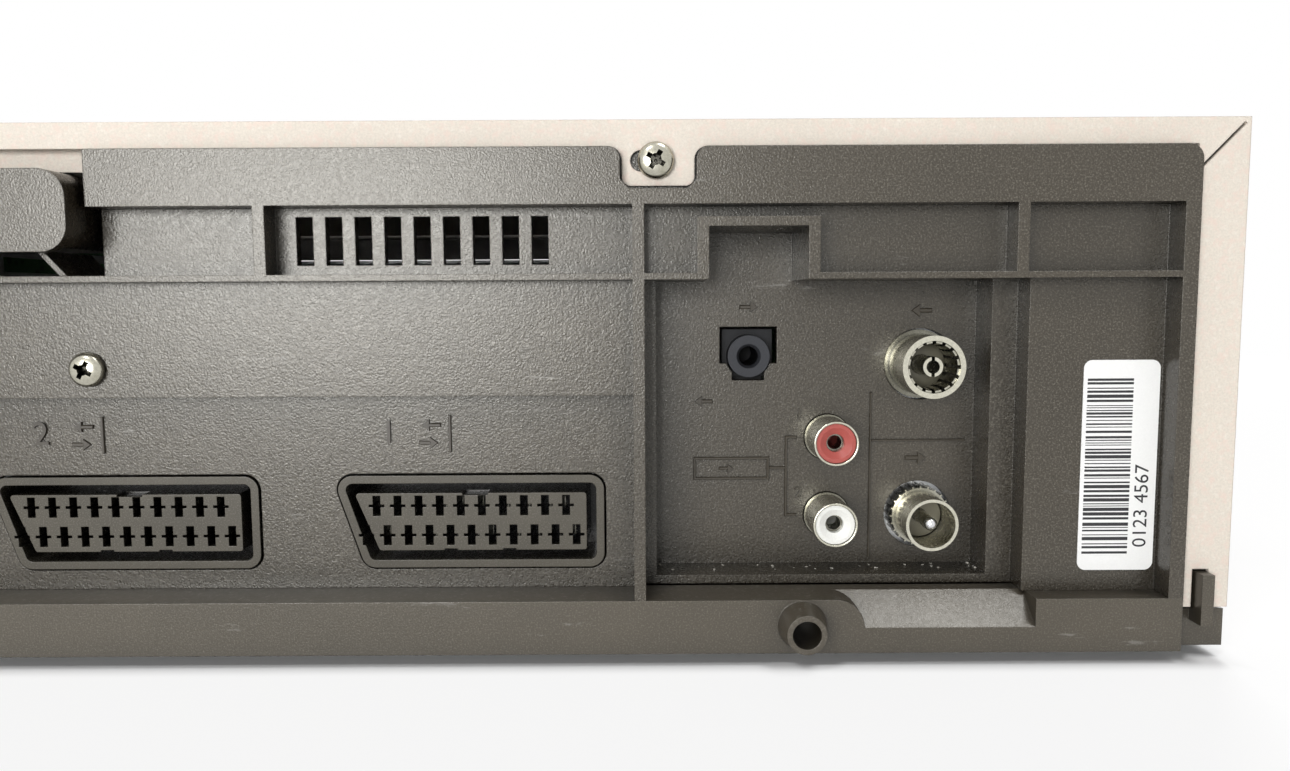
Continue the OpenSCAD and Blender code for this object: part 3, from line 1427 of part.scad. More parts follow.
// Tension arm with its tape post
module tension_arm() color("silver") {
    dx = x_tension_post - x_tension;
    dy = y_tension_post - y_tension;
    reach = sqrt(dx * dx + dy * dy);
    difference() {
        union() {
            translate([x_tension, y_tension, z_deck + 1]) rotate(atan2(dy, dx)) translate([reach / 2, 0, 0])
                linear_extrude(1.6) round_rect(reach + 7, 7, 3.49);
            post(x_tension, y_tension, z_deck + 1, z_deck + 8, 7);
            post(x_tension_post, y_tension_post, z_deck + 1, z_deck + 24, 3);
        }
        post(x_tension, y_tension, z_deck, z_deck + 12, 4 + 2 * running);
    }
}

// Cam gear that the worm turns
cam_teeth = 36;
module cam_gear() color("ivory") {
    translate([x_cam, y_cam, 0]) difference() {
        union() {
            translate([0, 0, z_worm - 3]) linear_extrude(6) gear_outline(cam_teeth, cam_dia, 1);
            post(0, 0, z_deck + 0.4, z_worm - 2.9, 12);
        }
        post(0, 0, z_deck, z_worm + 5, 4 + 2 * running);
        translate([7, -4, z_worm + 1]) cube([6, 8, 4]);
    }
}

// Worm on the motor's shaft
worm_half = 12;
worm_pitch = 3;
module loading_worm() color("ivory") {
    root = worm_dia / 2 - 1;
    tip = worm_dia / 2;
    translate([x_worm, y_cam, z_worm]) rotate([-90, 0, 0]) rotate_extrude()
        polygon(concat([[0, -worm_half], [root, -worm_half]],
            [for (i = [-3 : 3]) each [[root, worm_pitch * i - 1], [tip, worm_pitch * i - 0.2],
                [tip, worm_pitch * i + 0.2], [root, worm_pitch * i + 1]]],
            [[root, worm_half], [1, worm_half], [1, y_motor - y_cam - 0.3], [0, y_motor - y_cam - 0.3]]));
}

chassis_frame();
bottom_plate();
rubber_feet();
top_cover();
case_screws();
rear_panel();
bar_code_label();
av_socket_1();
av_socket_2();
aerial_input();
aerial_output();
phono_block();
phono_red_insert();
phono_white_insert();
control_jack();
tuner_can();
mains_inlet();
main_board();
power_board();
transformer();
capacitors();
heat_sink();
front_panel();
cassette_door();
display_window();
display_tube();
front_board();
front_jacks();
jack_flap();
shuttle_ring();
jog_dial();
power_button();
eject_button();
channel_up_button();
channel_down_button();
rewind_button();
play_button();
forward_button();
stop_button();
pause_button();
record_button();
deck_plate();
deck_fittings();
carriage_sides();
holder_slides();
cassette_holder();
lower_drum();
upper_drum();
capstan();
pinch_arm();
pinch_roller();
supply_reel();
take_up_reel();
idler_arm();
idler_gear();
supply_guide();
take_up_guide();
tension_arm();
cam_gear();
loading_worm();
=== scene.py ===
import math
import random

import bmesh
import bpy
from mathutils import Matrix, Vector


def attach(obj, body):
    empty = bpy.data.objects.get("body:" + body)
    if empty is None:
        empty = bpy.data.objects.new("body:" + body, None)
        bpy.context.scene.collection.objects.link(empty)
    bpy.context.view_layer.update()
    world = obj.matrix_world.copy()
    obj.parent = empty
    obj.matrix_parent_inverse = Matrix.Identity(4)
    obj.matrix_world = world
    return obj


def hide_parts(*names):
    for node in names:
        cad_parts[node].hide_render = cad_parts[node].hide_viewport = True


# Looks for the video cassette recorder. The pieces and the textures are in millimetres in the CAD frame
# and become metres where they are used. The camera, the lamps and the floor are in metres.
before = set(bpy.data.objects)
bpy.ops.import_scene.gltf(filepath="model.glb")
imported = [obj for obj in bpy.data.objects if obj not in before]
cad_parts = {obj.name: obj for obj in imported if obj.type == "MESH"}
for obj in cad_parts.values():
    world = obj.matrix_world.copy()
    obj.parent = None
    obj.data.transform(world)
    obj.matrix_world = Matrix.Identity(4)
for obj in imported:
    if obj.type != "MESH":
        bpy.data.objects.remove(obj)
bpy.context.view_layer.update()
scene = bpy.context.scene
MM = 0.001

# Places that the CAD source gives, in millimetres: the front face, the floors of the rear pockets,
# the middles of the sockets and of the shuttle ring, and the faces of the push buttons
Y_FACE = -136.0
Y_FLOOR_AERIAL = 117.0
Y_FLOOR_LOWER = 126.5
Y_FLOOR_POCKET = 130.2
X_TUNER = -149.8
Z_IN = 51.5
Z_OUT = 22.8
X_PHONO = -132.4
Z_PHONO = (22.7, 37.7)
X_AV = (-66.275, -3.825)
Z_AV = 24.0
DIAL_X = 150
DIAL_Z = 30.2
Y_CAPS = Y_FACE - 1.2

# Pitch of the contacts of a 21-way socket, and each row's start, height and count
CONTACT_PITCH = 3.81
CONTACT_ROWS = ((17.15, 2.95, 10), (19.15, -2.45, 11))

# Height of the raised marks in the moulding, and how deep they and the signs start in their faces
MARK = 0.40
SUNK = 0.05

# Rear screws: name, middle of the seat, width and height of the head, turn of the recess
SCREWS = (
    ("cover_screw_right", -99.8, 133.0, 87.15, 6.2, 2.05, 0.55),
    ("cover_screw_left", 99.8, 133.0, 87.15, 6.2, 2.05, 0.2),
    ("panel_screw", -1.45, 131.8, 52.3, 6.0, 1.98, 0.5),
)

# Outline of a pan head, as shares of its radius and its height
PAN_OUTLINE = ((1.0, 0.12), (1.0, 0.34), (0.965, 0.52), (0.88, 0.70), (0.74, 0.85), (0.55, 0.94),
               (0.3, 0.985))

# Dust: the bounds in x and y of where it lies, the height it falls from and the number of crumbs
DUST_FALLS = (
    (-168, -100, 118, 126, 30, 34),
    (-166, -160, 118, 133, 30, 10),
    (-192, -172, 127, 134, 30, 14),
    (-98, 14, 127, 133.5, 16, 30),
    (-188, 14, 130.6, 134.2, 80, 26),
)

# Colours of what lies on or shows through the plastic and the plating, and of the painted glints on the
# plastic's grain
GRAIN_GLINT_TINT = (0.24, 0.22, 0.18)
LEDGE_DUST = (0.36, 0.35, 0.31)
STRAY_DUST = (0.42, 0.41, 0.38)
SCUFFS = (0.30, 0.29, 0.27)
TARNISH = (0.30, 0.28, 0.18)

# The photograph's own view: place in metres, tilts in degrees, lens and film in millimetres
CAMERA_PLACE = (-0.0978, 0.2925, 0.0635)
CAMERA_PITCH = 5.15
CAMERA_ROLL = 0.30
CAMERA_LENS = 25.95
FILM_WIDTH = 36.0

# The world's strength for light on things, and as seen directly
WORLD_FILL = 0.12
WORLD_WHITE = 1.0

# The case on the table, in metres: half its width, and about half its depth without the dial
CASE_HALF_X = 0.200
CASE_HALF_Y = 0.135

# The table's white: its share beside the case, and in metres where its edge there begins and ends, and
# how far from the middle it starts to cover more and covers all
GLOW_BESIDE = 0.78
GLOW_EDGE = (-0.001, 0.004)
GLOW_FAR = (0.25, 1.1)

# Lamps: name, place, what they face, size in metres, watts
LAMPS = (
    ("key_rear", (0.36, 0.85, 1.05), (-0.09, 0.13, 0.05), (0.24, 0.24), 4.0),
    ("side_rear", (0.28, 1.10, 0.18), (-0.06, 0.13, 0.05), (0.54, 0.34), 8.2),
    ("top", (-0.47, 0.26, 1.10), (-0.15, 0.13, 0.0), (0.36, 0.36), 4.0),
    ("key_front", (-0.75, -1.25, 0.95), (0, -0.1, 0.05), (0.7, 0.7), 17.0),
)


# Studio
def make_camera():
    """From behind, a little above the sockets."""
    data = bpy.data.cameras.new("camera")
    data.sensor_width = FILM_WIDTH
    data.lens = CAMERA_LENS
    data.clip_start = 0.01
    camera = bpy.data.objects.new("camera", data)
    scene.collection.objects.link(camera)
    pitch = math.radians(CAMERA_PITCH)
    roll = math.radians(CAMERA_ROLL)
    ahead = Vector((0, -math.cos(pitch), -math.sin(pitch)))
    up = Vector((0, -math.sin(pitch), math.cos(pitch)))
    right = Vector((-1, 0, 0))
    x_axis = math.cos(roll) * right - math.sin(roll) * up
    y_axis = math.sin(roll) * right + math.cos(roll) * up
    turned = Matrix((x_axis, y_axis, -ahead)).transposed().to_4x4()
    camera.matrix_world = Matrix.Translation(CAMERA_PLACE) @ turned
    scene.camera = camera


def math_node(tree, op, a, b=None, clamp=False):
    """A Math node whose inputs are numbers or other nodes' outputs."""
    node = tree.nodes.new("ShaderNodeMath")
    node.operation = op
    node.use_clamp = clamp
    for i, x in enumerate((a, b)):
        if x is None:
            continue
        if isinstance(x, (int, float)):
            node.inputs[i].default_value = x
        else:
            tree.links.new(x, node.inputs[i])
    return node.outputs[0]


def map_node(tree, x, low, high, out_low, out_high, kind="LINEAR"):
    """Maps low..high to out_low..out_high and stops at both ends."""
    node = tree.nodes.new("ShaderNodeMapRange")
    node.interpolation_type = kind
    node.clamp = True
    for key, number in (("From Min", low), ("From Max", high), ("To Min", out_low), ("To Max", out_high)):
        node.inputs[key].default_value = number
    tree.links.new(x, node.inputs["Value"])
    return node.outputs[0]


def seen_directly(tree):
    """1 for the camera, and for what metal and glass show; 0 for the light that falls on things."""
    path = tree.nodes.new("ShaderNodeLightPath")
    value = path.outputs["Is Camera Ray"]
    for name in ("Is Glossy Ray", "Is Transmission Ray"):
        value = math_node(tree, "MAXIMUM", value, path.outputs[name])
    return value


def background(tree, strength):
    node = tree.nodes.new("ShaderNodeBackground")
    node.inputs["Color"].default_value = (1.0, 1.0, 1.0, 1)
    node.inputs["Strength"].default_value = strength
    return node.outputs[0]


def make_world():
    world = bpy.data.worlds.new("studio")
    scene.world = world
    world.use_nodes = True
    tree = world.node_tree
    tree.nodes.clear()
    mix = tree.nodes.new("ShaderNodeMixShader")
    out = tree.nodes.new("ShaderNodeOutputWorld")
    tree.links.new(seen_directly(tree), mix.inputs[0])
    tree.links.new(background(tree, WORLD_FILL), mix.inputs[1])
    tree.links.new(background(tree, WORLD_WHITE), mix.inputs[2])
    tree.links.new(mix.outputs[0], out.inputs[0])


def glow_share(tree):
    """How much of the table is plain white: none under the case, most of it beside it, all far away."""
    place = tree.nodes.new("ShaderNodeTexCoord").outputs["Object"]
    split = tree.nodes.new("ShaderNodeSeparateXYZ")
    tree.links.new(place, split.inputs[0])
    beside = math_node(tree, "SUBTRACT", math_node(tree, "ABSOLUTE", split.outputs["X"]), CASE_HALF_X)
    behind = math_node(tree, "SUBTRACT", math_node(tree, "ABSOLUTE", split.outputs["Y"]), CASE_HALF_Y)
    outside = math_node(tree, "MAXIMUM", beside, behind)
    near = map_node(tree, outside, *GLOW_EDGE, 0.0, GLOW_BESIDE, "SMOOTHSTEP")
    length = tree.nodes.new("ShaderNodeVectorMath")
    length.operation = "LENGTH"
    tree.links.new(place, length.inputs[0])
    far = map_node(tree, length.outputs["Value"], *GLOW_FAR, 0.0, 1.0, "SMOOTHSTEP")
    return math_node(tree, "MAXIMUM", near, far)


def make_floor():
    """A plain pale table top that keeps the object's shadow."""
    bm = bmesh.new()
    bmesh.ops.create_grid(bm, x_segments=2, y_segments=2, size=4.0)
    mesh = bpy.data.meshes.new("floor")
    bm.to_mesh(mesh)
    bm.free()
    floor = bpy.data.objects.new("floor", mesh)
    scene.collection.objects.link(floor)
    material = bpy.data.materials.new("floor")
    material.use_nodes = True
    tree = material.node_tree
    shader = tree.nodes["Principled BSDF"]
    shader.inputs["Base Color"].default_value = (0.9, 0.9, 0.9, 1)
    shader.inputs["Roughness"].default_value = 0.8
    glow = tree.nodes.new("ShaderNodeEmission")
    glow.inputs["Strength"].default_value = 1.0
    share = math_node(tree, "MULTIPLY", seen_directly(tree), glow_share(tree))
    mix = tree.nodes.new("ShaderNodeMixShader")
    tree.links.new(share, mix.inputs[0])
    tree.links.new(shader.outputs[0], mix.inputs[1])
    tree.links.new(glow.outputs[0], mix.inputs[2])
    tree.links.new(mix.outputs[0], tree.nodes["Material Output"].inputs[0])
    mesh.materials.append(material)


def make_light(name, place, target, size, watts):
    data = bpy.data.lights.new(name, "AREA")
    data.shape = "RECTANGLE"
    data.size, data.size_y = size
    data.energy = watts
    light = bpy.data.objects.new(name, data)
    scene.collection.objects.link(light)
    light.location = place
    light.rotation_mode = "QUATERNION"
    light.rotation_quaternion = (Vector(target) - Vector(place)).to_track_quat("-Z", "Y")


# Materials
class Look:
    """A Principled material with short ways to add noise, masks and bump."""

    def __init__(self, name, color, roughness, metallic=0.0, specular=0.5):
        self.material = bpy.data.materials.new(name)
        self.material.use_nodes = True
        self.tree = self.material.node_tree
        self.shader = self.tree.nodes["Principled BSDF"]
        self.shader.inputs["Metallic"].default_value = metallic
        self.shader.inputs["Specular IOR Level"].default_value = specular
        self.place = self.tree.nodes.new("ShaderNodeTexCoord").outputs["Object"]
        base = self.tree.nodes.new("ShaderNodeRGB")
        base.outputs[0].default_value = (*color, 1)
        self.color = base.outputs[0]
        self.rough = roughness
        self.height = None
        self.normal = None

    def math(self, op, a, b=None, clamp=False):
        return math_node(self.tree, op, a, b, clamp)

    def ramp(self, x, low, high, out_low=0.0, out_high=1.0):
        return map_node(self.tree, x, low, high, out_low, out_high)

    def scaled(self, stretch):
        node = self.tree.nodes.new("ShaderNodeMapping")
        node.inputs["Scale"].default_value = stretch
        self.tree.links.new(self.place, node.inputs["Vector"])
        return node.outputs[0]

    def noise(self, size_mm, detail=2.0, rough=0.5, stretch=None):
        """Noise whose blotches are about size_mm across."""
        node = self.tree.nodes.new("ShaderNodeTexNoise")
        node.inputs["Scale"].default_value = 1.0 / (size_mm * MM)
        node.inputs["Detail"].default_value = detail
        node.inputs["Roughness"].default_value = rough
        self.tree.links.new(self.scaled(stretch) if stretch else self.place, node.inputs["Vector"])
        return node.outputs["Fac"]

    def cells(self, size_mm, stretch=None):
        node = self.tree.nodes.new("ShaderNodeTexVoronoi")
        node.inputs["Scale"].default_value = 1.0 / (size_mm * MM)
        self.tree.links.new(self.scaled(stretch) if stretch else self.place, node.inputs["Vector"])
        return node.outputs["Distance"]

    def facing(self, axis, low=0.6, high=0.9, both=True):
        """1 where the surface faces along an axis."""
        geometry = self.tree.nodes.new("ShaderNodeNewGeometry")
        split = self.tree.nodes.new("ShaderNodeSeparateXYZ")
        self.tree.links.new(geometry.outputs["True Normal"], split.inputs[0])
        x = split.outputs[axis]
        if both:
            x = self.math("ABSOLUTE", x)
        return self.ramp(x, low, high)

    def tint(self, color, mask, share=1.0):
        """Mixes a colour in where the mask is 1."""
        node = self.tree.nodes.new("ShaderNodeMix")
        node.data_type = "RGBA"
        factor = self.math("MULTIPLY", mask, share, clamp=True)
        self.tree.links.new(factor, node.inputs[0])
        self.tree.links.new(self.color, node.inputs[6])
        node.inputs[7].default_value = (*color, 1)
        self.color = node.outputs[2]
        return self

    def shade(self, mask, low, high):
        """Multiplies the colour by low where the mask is 0 and by high where it is 1."""
        factor = self.ramp(mask, 0.0, 1.0, low, high)
        node = self.tree.nodes.new("ShaderNodeVectorMath")
        node.operation = "SCALE"
        self.tree.links.new(self.color, node.inputs[0])
        self.tree.links.new(factor, node.inputs["Scale"])
        self.color = node.outputs[0]
        return self

    def roughen(self, mask, amount):
        self.rough = self.math("ADD", self.rough, self.math("MULTIPLY", mask, amount), clamp=True)
        return self

    def raise_by(self, mask, height_mm):
        """Adds relief, in millimetres."""
        step = self.math("MULTIPLY", mask, height_mm * MM)
        self.height = step if self.height is None else self.math("ADD", self.height, step)
        return self

    def paint_hollow_shade(self, reach_mm, low):
        """Painted shade: multiplies the colour by low deep in corners and holes, where shade falls."""
        node = self.tree.nodes.new("ShaderNodeAmbientOcclusion")
        node.samples = 6
        node.inputs["Distance"].default_value = reach_mm * MM
        return self.shade(self.ramp(node.outputs["AO"], 0.25, 0.95), low, 1.0)

    def soft_edges(self, radius_mm):
        node = self.tree.nodes.new("ShaderNodeBevel")
        node.samples = 4
        node.inputs["Radius"].default_value = radius_mm * MM
        self.normal = node.outputs[0]
        return self

    def done(self):
        links = self.tree.links
        links.new(self.color, self.shader.inputs["Base Color"])
        if isinstance(self.rough, float):
            self.shader.inputs["Roughness"].default_value = self.rough
        else:
            links.new(self.rough, self.shader.inputs["Roughness"])
        if self.height is not None:
            bump = self.tree.nodes.new("ShaderNodeBump")
            bump.inputs["Strength"].default_value = 1.0
            bump.inputs["Distance"].default_value = 1.0
            links.new(self.height, bump.inputs["Height"])
            if self.normal is not None:
                links.new(self.normal, bump.inputs["Normal"])
            self.normal = bump.outputs[0]
        if self.normal is not None:
            links.new(self.normal, self.shader.inputs["Normal"])
        return self.material


def moulded_plastic(name, color, grain=1.0, shine=0.25):
    """Moulded plastic, grained where it faces front or rear and smooth on the walls of its pockets."""
    look = Look(name, color, shine, specular=0.7)
    look.shader.inputs["Specular Tint"].default_value = (1.0, 0.985, 0.93, 1)
    faces = look.facing("Y", 0.35, 0.8)
    fine = look.noise(0.33, 1.5, 0.6)
    coarse = look.noise(0.75, 3.0, 0.6)
    blotch = look.noise(26.0, 3.0, 0.55)
    look.shade(look.ramp(blotch, 0.3, 0.7), 0.88, 1.12)
    # Lighter specks on the grained faces: partly the grain's own tone, partly painted glints of light on the
    # grain
    glint_specks = look.math("MULTIPLY", look.ramp(look.noise(0.30, 1.0, 0.6), 0.50, 0.72), faces)
    look.tint(GRAIN_GLINT_TINT, glint_specks, 0.46 * grain)
    look.roughen(look.ramp(coarse, 0.35, 0.7), 0.07)
    lumps = look.math("MULTIPLY", look.ramp(coarse, 0.3, 0.7), 0.10)
    grains = look.math("ADD", look.ramp(fine, 0.3, 0.7), lumps)
    look.raise_by(look.math("MULTIPLY", grains, faces), 0.026 * grain)
    ledge = look.facing("Z", 0.7, 0.95, both=False)
    specks = look.ramp(look.noise(0.8, 4.0, 0.75), 0.56, 0.72)
    look.tint(LEDGE_DUST, look.math("MULTIPLY", ledge, specks), 0.45)
    stray = look.ramp(look.noise(1.1, 6.0, 0.85), 0.70, 0.74)
    look.tint(STRAY_DUST, stray, 0.5)
    scuff = look.ramp(look.noise(3.5, 5.0, 0.8, (0.12, 1.0, 1.0)), 0.64, 0.68)
    look.tint(SCUFFS, look.math("MULTIPLY", scuff, faces), 0.35)
    # Painted shade: darker in the corners and pockets of the moulding
    look.paint_hollow_shade(7.0, 0.3)
    look.soft_edges(0.25)
    return look.done()


def painted_steel(name, color, mottle=1.0):
    look = Look(name, color, 0.58, specular=0.3)
    grain = look.noise(0.38, 3.0, 0.6)
    patch = look.noise(30.0, 2.0, 0.5)
    look.shade(look.ramp(grain, 0.3, 0.7), 0.90, 1.07)
    blush = look.ramp(look.noise(1.5, 3.0, 0.65), 0.48, 0.66)
    look.tint((color[0] * 1.06, color[1] * 0.93, color[2] * 0.93), blush, 0.55 * mottle)
    pale = look.ramp(look.noise(1.0, 3.0, 0.65), 0.54, 0.70)
    look.tint((color[0] * 1.12, color[1] * 1.16, color[2] * 1.20), pale, 0.6 * mottle)
    look.shade(look.ramp(patch, 0.3, 0.7), 0.97, 1.02)
    look.roughen(look.ramp(grain, 0.3, 0.7), 0.10)
    look.raise_by(look.ramp(grain, 0.25, 0.75), 0.012)
    look.soft_edges(0.35)
    return look.done()


def plated(name, color, roughness=0.24, wear=0.5):
    look = Look(name, color, roughness, metallic=1.0)
    cloud = look.noise(2.2, 4.0, 0.65)
    look.tint(TARNISH, look.ramp(cloud, 0.50, 0.78), wear)
    look.shade(look.ramp(look.noise(0.5, 3.0, 0.6), 0.3, 0.7), 0.86, 1.08)
    look.roughen(look.ramp(cloud, 0.4, 0.75), 0.14)
    scratch = look.noise(0.25, 3.0, 0.6, (1.0, 0.1, 1.0))
    look.raise_by(look.ramp(scratch, 0.3, 0.7), 0.002)
    # Painted shade: darker in recesses such as a screw's cross
    look.paint_hollow_shade(2.5, 0.10)
    return look.done()


def sheet_steel(name, color):
    look = Look(name, color, 0.38, metallic=0.9)
    spangle = look.cells(6.0)
    look.shade(look.ramp(spangle, 0.1, 0.8), 0.88, 1.08)
    look.roughen(look.ramp(spangle, 0.2, 0.9), 0.15)
    rolled = look.noise(0.8, 2.0, 0.5, (0.06, 1.0, 1.0))
    look.raise_by(look.ramp(rolled, 0.3, 0.7), 0.003)
    return look.done()


def smooth_plastic(name, color, roughness, grain_mm=0.25, spread=0.06, edges=0.18, hollow_shade=1.0):
    look = Look(name, color, roughness)
    fine = look.noise(grain_mm, 3.0, 0.6)
    look.shade(look.ramp(look.noise(9.0, 3.0, 0.5), 0.3, 0.7), 1 - spread, 1 + spread)
    look.shade(look.ramp(fine, 0.3, 0.7), 0.95, 1.05)
    look.roughen(look.ramp(fine, 0.3, 0.7), 0.08)
    look.raise_by(look.ramp(fine, 0.3, 0.7), 0.003)
    # Painted shade: darker in the hollows where the share is below 1
    if hollow_shade < 1.0:
        look.paint_hollow_shade(3.5, hollow_shade)
    if edges:
        look.soft_edges(edges)
    return look.done()


def jack_plastic(name):
    """Dull black, with painted shade where it lies behind the panel."""
    look = Look(name, (0.040, 0.042, 0.048), 0.42, specular=0.22)
    fine = look.noise(0.3, 3.0, 0.6)
    look.shade(look.ramp(fine, 0.3, 0.7), 0.85, 1.15)
    look.roughen(look.ramp(fine, 0.3, 0.7), 0.08)
    look.paint_hollow_shade(5.0, 0.05)
    look.soft_edges(0.2)
    return look.done()


def rubber(name):
    look = Look(name, (0.022, 0.022, 0.022), 0.75, specular=0.3)
    fine = look.noise(0.5, 4.0, 0.7)
    look.shade(look.ramp(fine, 0.3, 0.7), 0.8, 1.4)
    look.raise_by(fine, 0.03)
    return look.done()


def paper(name, color=(0.86, 0.86, 0.845)):
    look = Look(name, color, 0.5, specular=0.3)
    look.shade(look.ramp(look.noise(0.3, 4.0, 0.7), 0.3, 0.7), 0.97, 1.02)
    look.shade(look.ramp(look.noise(12.0, 2.0, 0.5), 0.3, 0.7), 0.985, 1.01)
    look.raise_by(look.noise(0.2, 3.0, 0.6), 0.004)
    return look.done()


def ink(name, color=(0.02, 0.02, 0.022)):
    look = Look(name, color, 0.45)
    look.tint((0.25, 0.25, 0.25), look.ramp(look.noise(0.35, 4.0, 0.75), 0.62, 0.72), 0.35)
    return look.done()


def circuit_board(name, color):
    look = Look(name, color, 0.4)
    tracks = look.cells(3.2, (1.0, 0.35, 1.0))
    look.shade(look.ramp(tracks, 0.25, 0.4), 0.7, 1.25)
    pads = look.ramp(look.cells(2.4), 0.0, 0.16, 1.0, 0.0)
    look.tint((0.5, 0.5, 0.48), look.ramp(pads, 0.5, 0.9), 0.6)
    look.raise_by(look.ramp(tracks, 0.25, 0.4), 0.03)
    return look.done()


def winding(name):
    look = Look(name, (0.30, 0.20, 0.05), 0.45)
    turns = look.noise(0.8, 2.0, 0.5, (0.1, 0.1, 1.0))
    look.shade(look.ramp(turns, 0.35, 0.65), 0.7, 1.3)
    look.raise_by(turns, 0.05)
    return look.done()


def dark_glass(name):
    look = Look(name, (0.012, 0.012, 0.014), 0.05, specular=0.6)
    look.shade(look.ramp(look.noise(14.0, 2.0, 0.5), 0.3, 0.7), 0.8, 1.3)
    look.roughen(look.ramp(look.noise(4.0, 4.0, 0.7), 0.5, 0.8), 0.05)
    return look.done()


def make_looks():
    black = (0.034, 0.027, 0.018)
    return {
        "black_plastic": moulded_plastic("black_plastic", black),
        "cover_paint": painted_steel("cover_paint", (0.68, 0.62, 0.54)),
        "zinc_steel": sheet_steel("zinc_steel", (0.62, 0.63, 0.64)),
        "rubber": rubber("rubber"),
        "screw_zinc": plated("screw_zinc", (0.50, 0.48, 0.40), 0.20, 0.45),
        "label_paper": paper("label_paper"),
        "frame_plastic": moulded_plastic("frame_plastic", (0.058, 0.048, 0.034), 0.6, 0.28),
        "mark_plastic": smooth_plastic("mark_plastic", (0.046, 0.038, 0.026), 0.3, edges=0.0),
        "socket_black": smooth_plastic("socket_black", (0.075, 0.067, 0.050), 0.22, 0.3, 0.12, hollow_shade=0.08),
        "jack_black": jack_plastic("jack_black"),
        "socket_inside": smooth_plastic("socket_inside", (0.14, 0.13, 0.095), 0.35),
        "nickel": plated("nickel", (0.63, 0.61, 0.51), 0.22, 0.40),
        "insert_red": smooth_plastic("insert_red", (0.40, 0.080, 0.065), 0.35),
        "insert_white": smooth_plastic("insert_white", (0.82, 0.82, 0.78), 0.35),
        "board_brown": circuit_board("board_brown", (0.18, 0.10, 0.035)),
        "board_green": circuit_board("board_green", (0.035, 0.10, 0.035)),
        "winding_tape": winding("winding_tape"),
        "capacitor_sleeve": smooth_plastic("capacitor_sleeve", (0.012, 0.018, 0.05), 0.3),
        "bare_aluminium": sheet_steel("bare_aluminium", (0.72, 0.73, 0.74)),
        "front_silver": painted_steel("front_silver", (0.56, 0.545, 0.52), 0.15),
        "smoked_window": dark_glass("smoked_window"),
        "tube_glass": smooth_plastic("tube_glass", (0.05, 0.09, 0.09), 0.12),
        "dial_black": smooth_plastic("dial_black", (0.03, 0.03, 0.032), 0.32),
        "dial_silver": plated("dial_silver", (0.70, 0.70, 0.69), 0.28, 0.1),
        "button_silver": smooth_plastic("button_silver", (0.50, 0.49, 0.47), 0.3),
        "button_red": smooth_plastic("button_red", (0.42, 0.03, 0.03), 0.3),
        "bright_steel": plated("bright_steel", (0.74, 0.74, 0.75), 0.18, 0.1),
        "white_plastic": smooth_plastic("white_plastic", (0.72, 0.71, 0.67), 0.38),
        "black_ink": ink("black_ink"),
        "dust": paper("dust", (0.50, 0.48, 0.43)),
        "grey_ink": ink("grey_ink", (0.12, 0.12, 0.12)),
    }


# Mesh helpers
def add_points(bm, points):
    return [bm.verts.new(point) for point in points]


def add_box(bm, x0, x1, y0, y1, z0, z1):
    made = bmesh.ops.create_cube(bm, size=1.0)["verts"]
    middle = Vector(((x0 + x1) / 2, (y0 + y1) / 2, (z0 + z1) / 2))
    for v in made:
        v.co = Vector((v.co.x * (x1 - x0), v.co.y * (y1 - y0), v.co.z * (z1 - z0))) + middle
    return made


def add_ring(bm, x, z, profile, segments=72, closed=False):
    """Turns a profile of (radius, y) about an axis along Y."""
    turns = [2 * math.pi * i / segments for i in range(segments)]
    rows = []
    for radius, y in profile:
        if radius < 1e-6:
            rows.append([bm.verts.new((x, y, z))])
            continue
        rows.append(add_points(bm, [(x + radius * math.cos(a), y, z + radius * math.sin(a)) for a in turns]))
    pairs = list(zip(rows, rows[1:])) + ([(rows[-1], rows[0])] if closed else [])
    for a, b in pairs:
        for i in range(segments):
            j = (i + 1) % segments
            if len(a) == 1:
                bm.faces.new((a[0], b[i], b[j]))
            elif len(b) == 1:
                bm.faces.new((a[i], a[j], b[0]))
            else:
                bm.faces.new((a[i], a[j], b[j], b[i]))


def join_rings(bm, rings):
    """Walls between each ring of points and the next."""
    for a, b in zip(rings, rings[1:]):
        for i in range(len(a)):
            j = (i + 1) % len(a)
            bm.faces.new((a[i], a[j], b[j], b[i]))


def add_prism(bm, low, high):
    """A closed solid between two outlines with the same number of points."""
    low = add_points(bm, low)
    high = add_points(bm, high)
    bm.faces.new(low)
    bm.faces.new(high)
    join_rings(bm, (low, high))


def linked(name, bm):
    """Turns millimetres into metres and links the mesh as an object."""
    bmesh.ops.scale(bm, vec=(MM, MM, MM), verts=bm.verts)
    bmesh.ops.recalc_face_normals(bm, faces=bm.faces)
    mesh = bpy.data.meshes.new(name)
    bm.to_mesh(mesh)
    bm.free()
    obj = bpy.data.objects.new(name, mesh)
    scene.collection.objects.link(obj)
    return obj


def piece(name, bm, look, body="case", smooth=True):
    """Makes a piece of the object and lets it ride on its body."""
    obj = linked(name, bm)
    obj.data.materials.append(LOOKS[look])
    if smooth:
        obj.data.shade_smooth()
        mod = obj.modifiers.new("creases", "EDGE_SPLIT")
        mod.split_angle = math.radians(35)
    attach(obj, body)
    return obj


def cut(obj, cutter):
    """Subtracts one mesh from another and keeps the result as obj's own mesh."""
    mod = obj.modifiers.new("cut", "BOOLEAN")
    mod.operation = "DIFFERENCE"
    mod.solver = "EXACT"
    mod.object = cutter
    obj.modifiers.move(len(obj.modifiers) - 1, 0)
    others = [m for m in obj.modifiers if m.name != "cut"]
    for m in others:
        m.show_viewport = False
    bpy.context.view_layer.update()
    made = bpy.data.meshes.new_from_object(obj.evaluated_get(bpy.context.evaluated_depsgraph_get()))
    for m in others:
        m.show_viewport = True
    obj.modifiers.remove(mod)
    obj.data = made
    bpy.data.objects.remove(cutter)


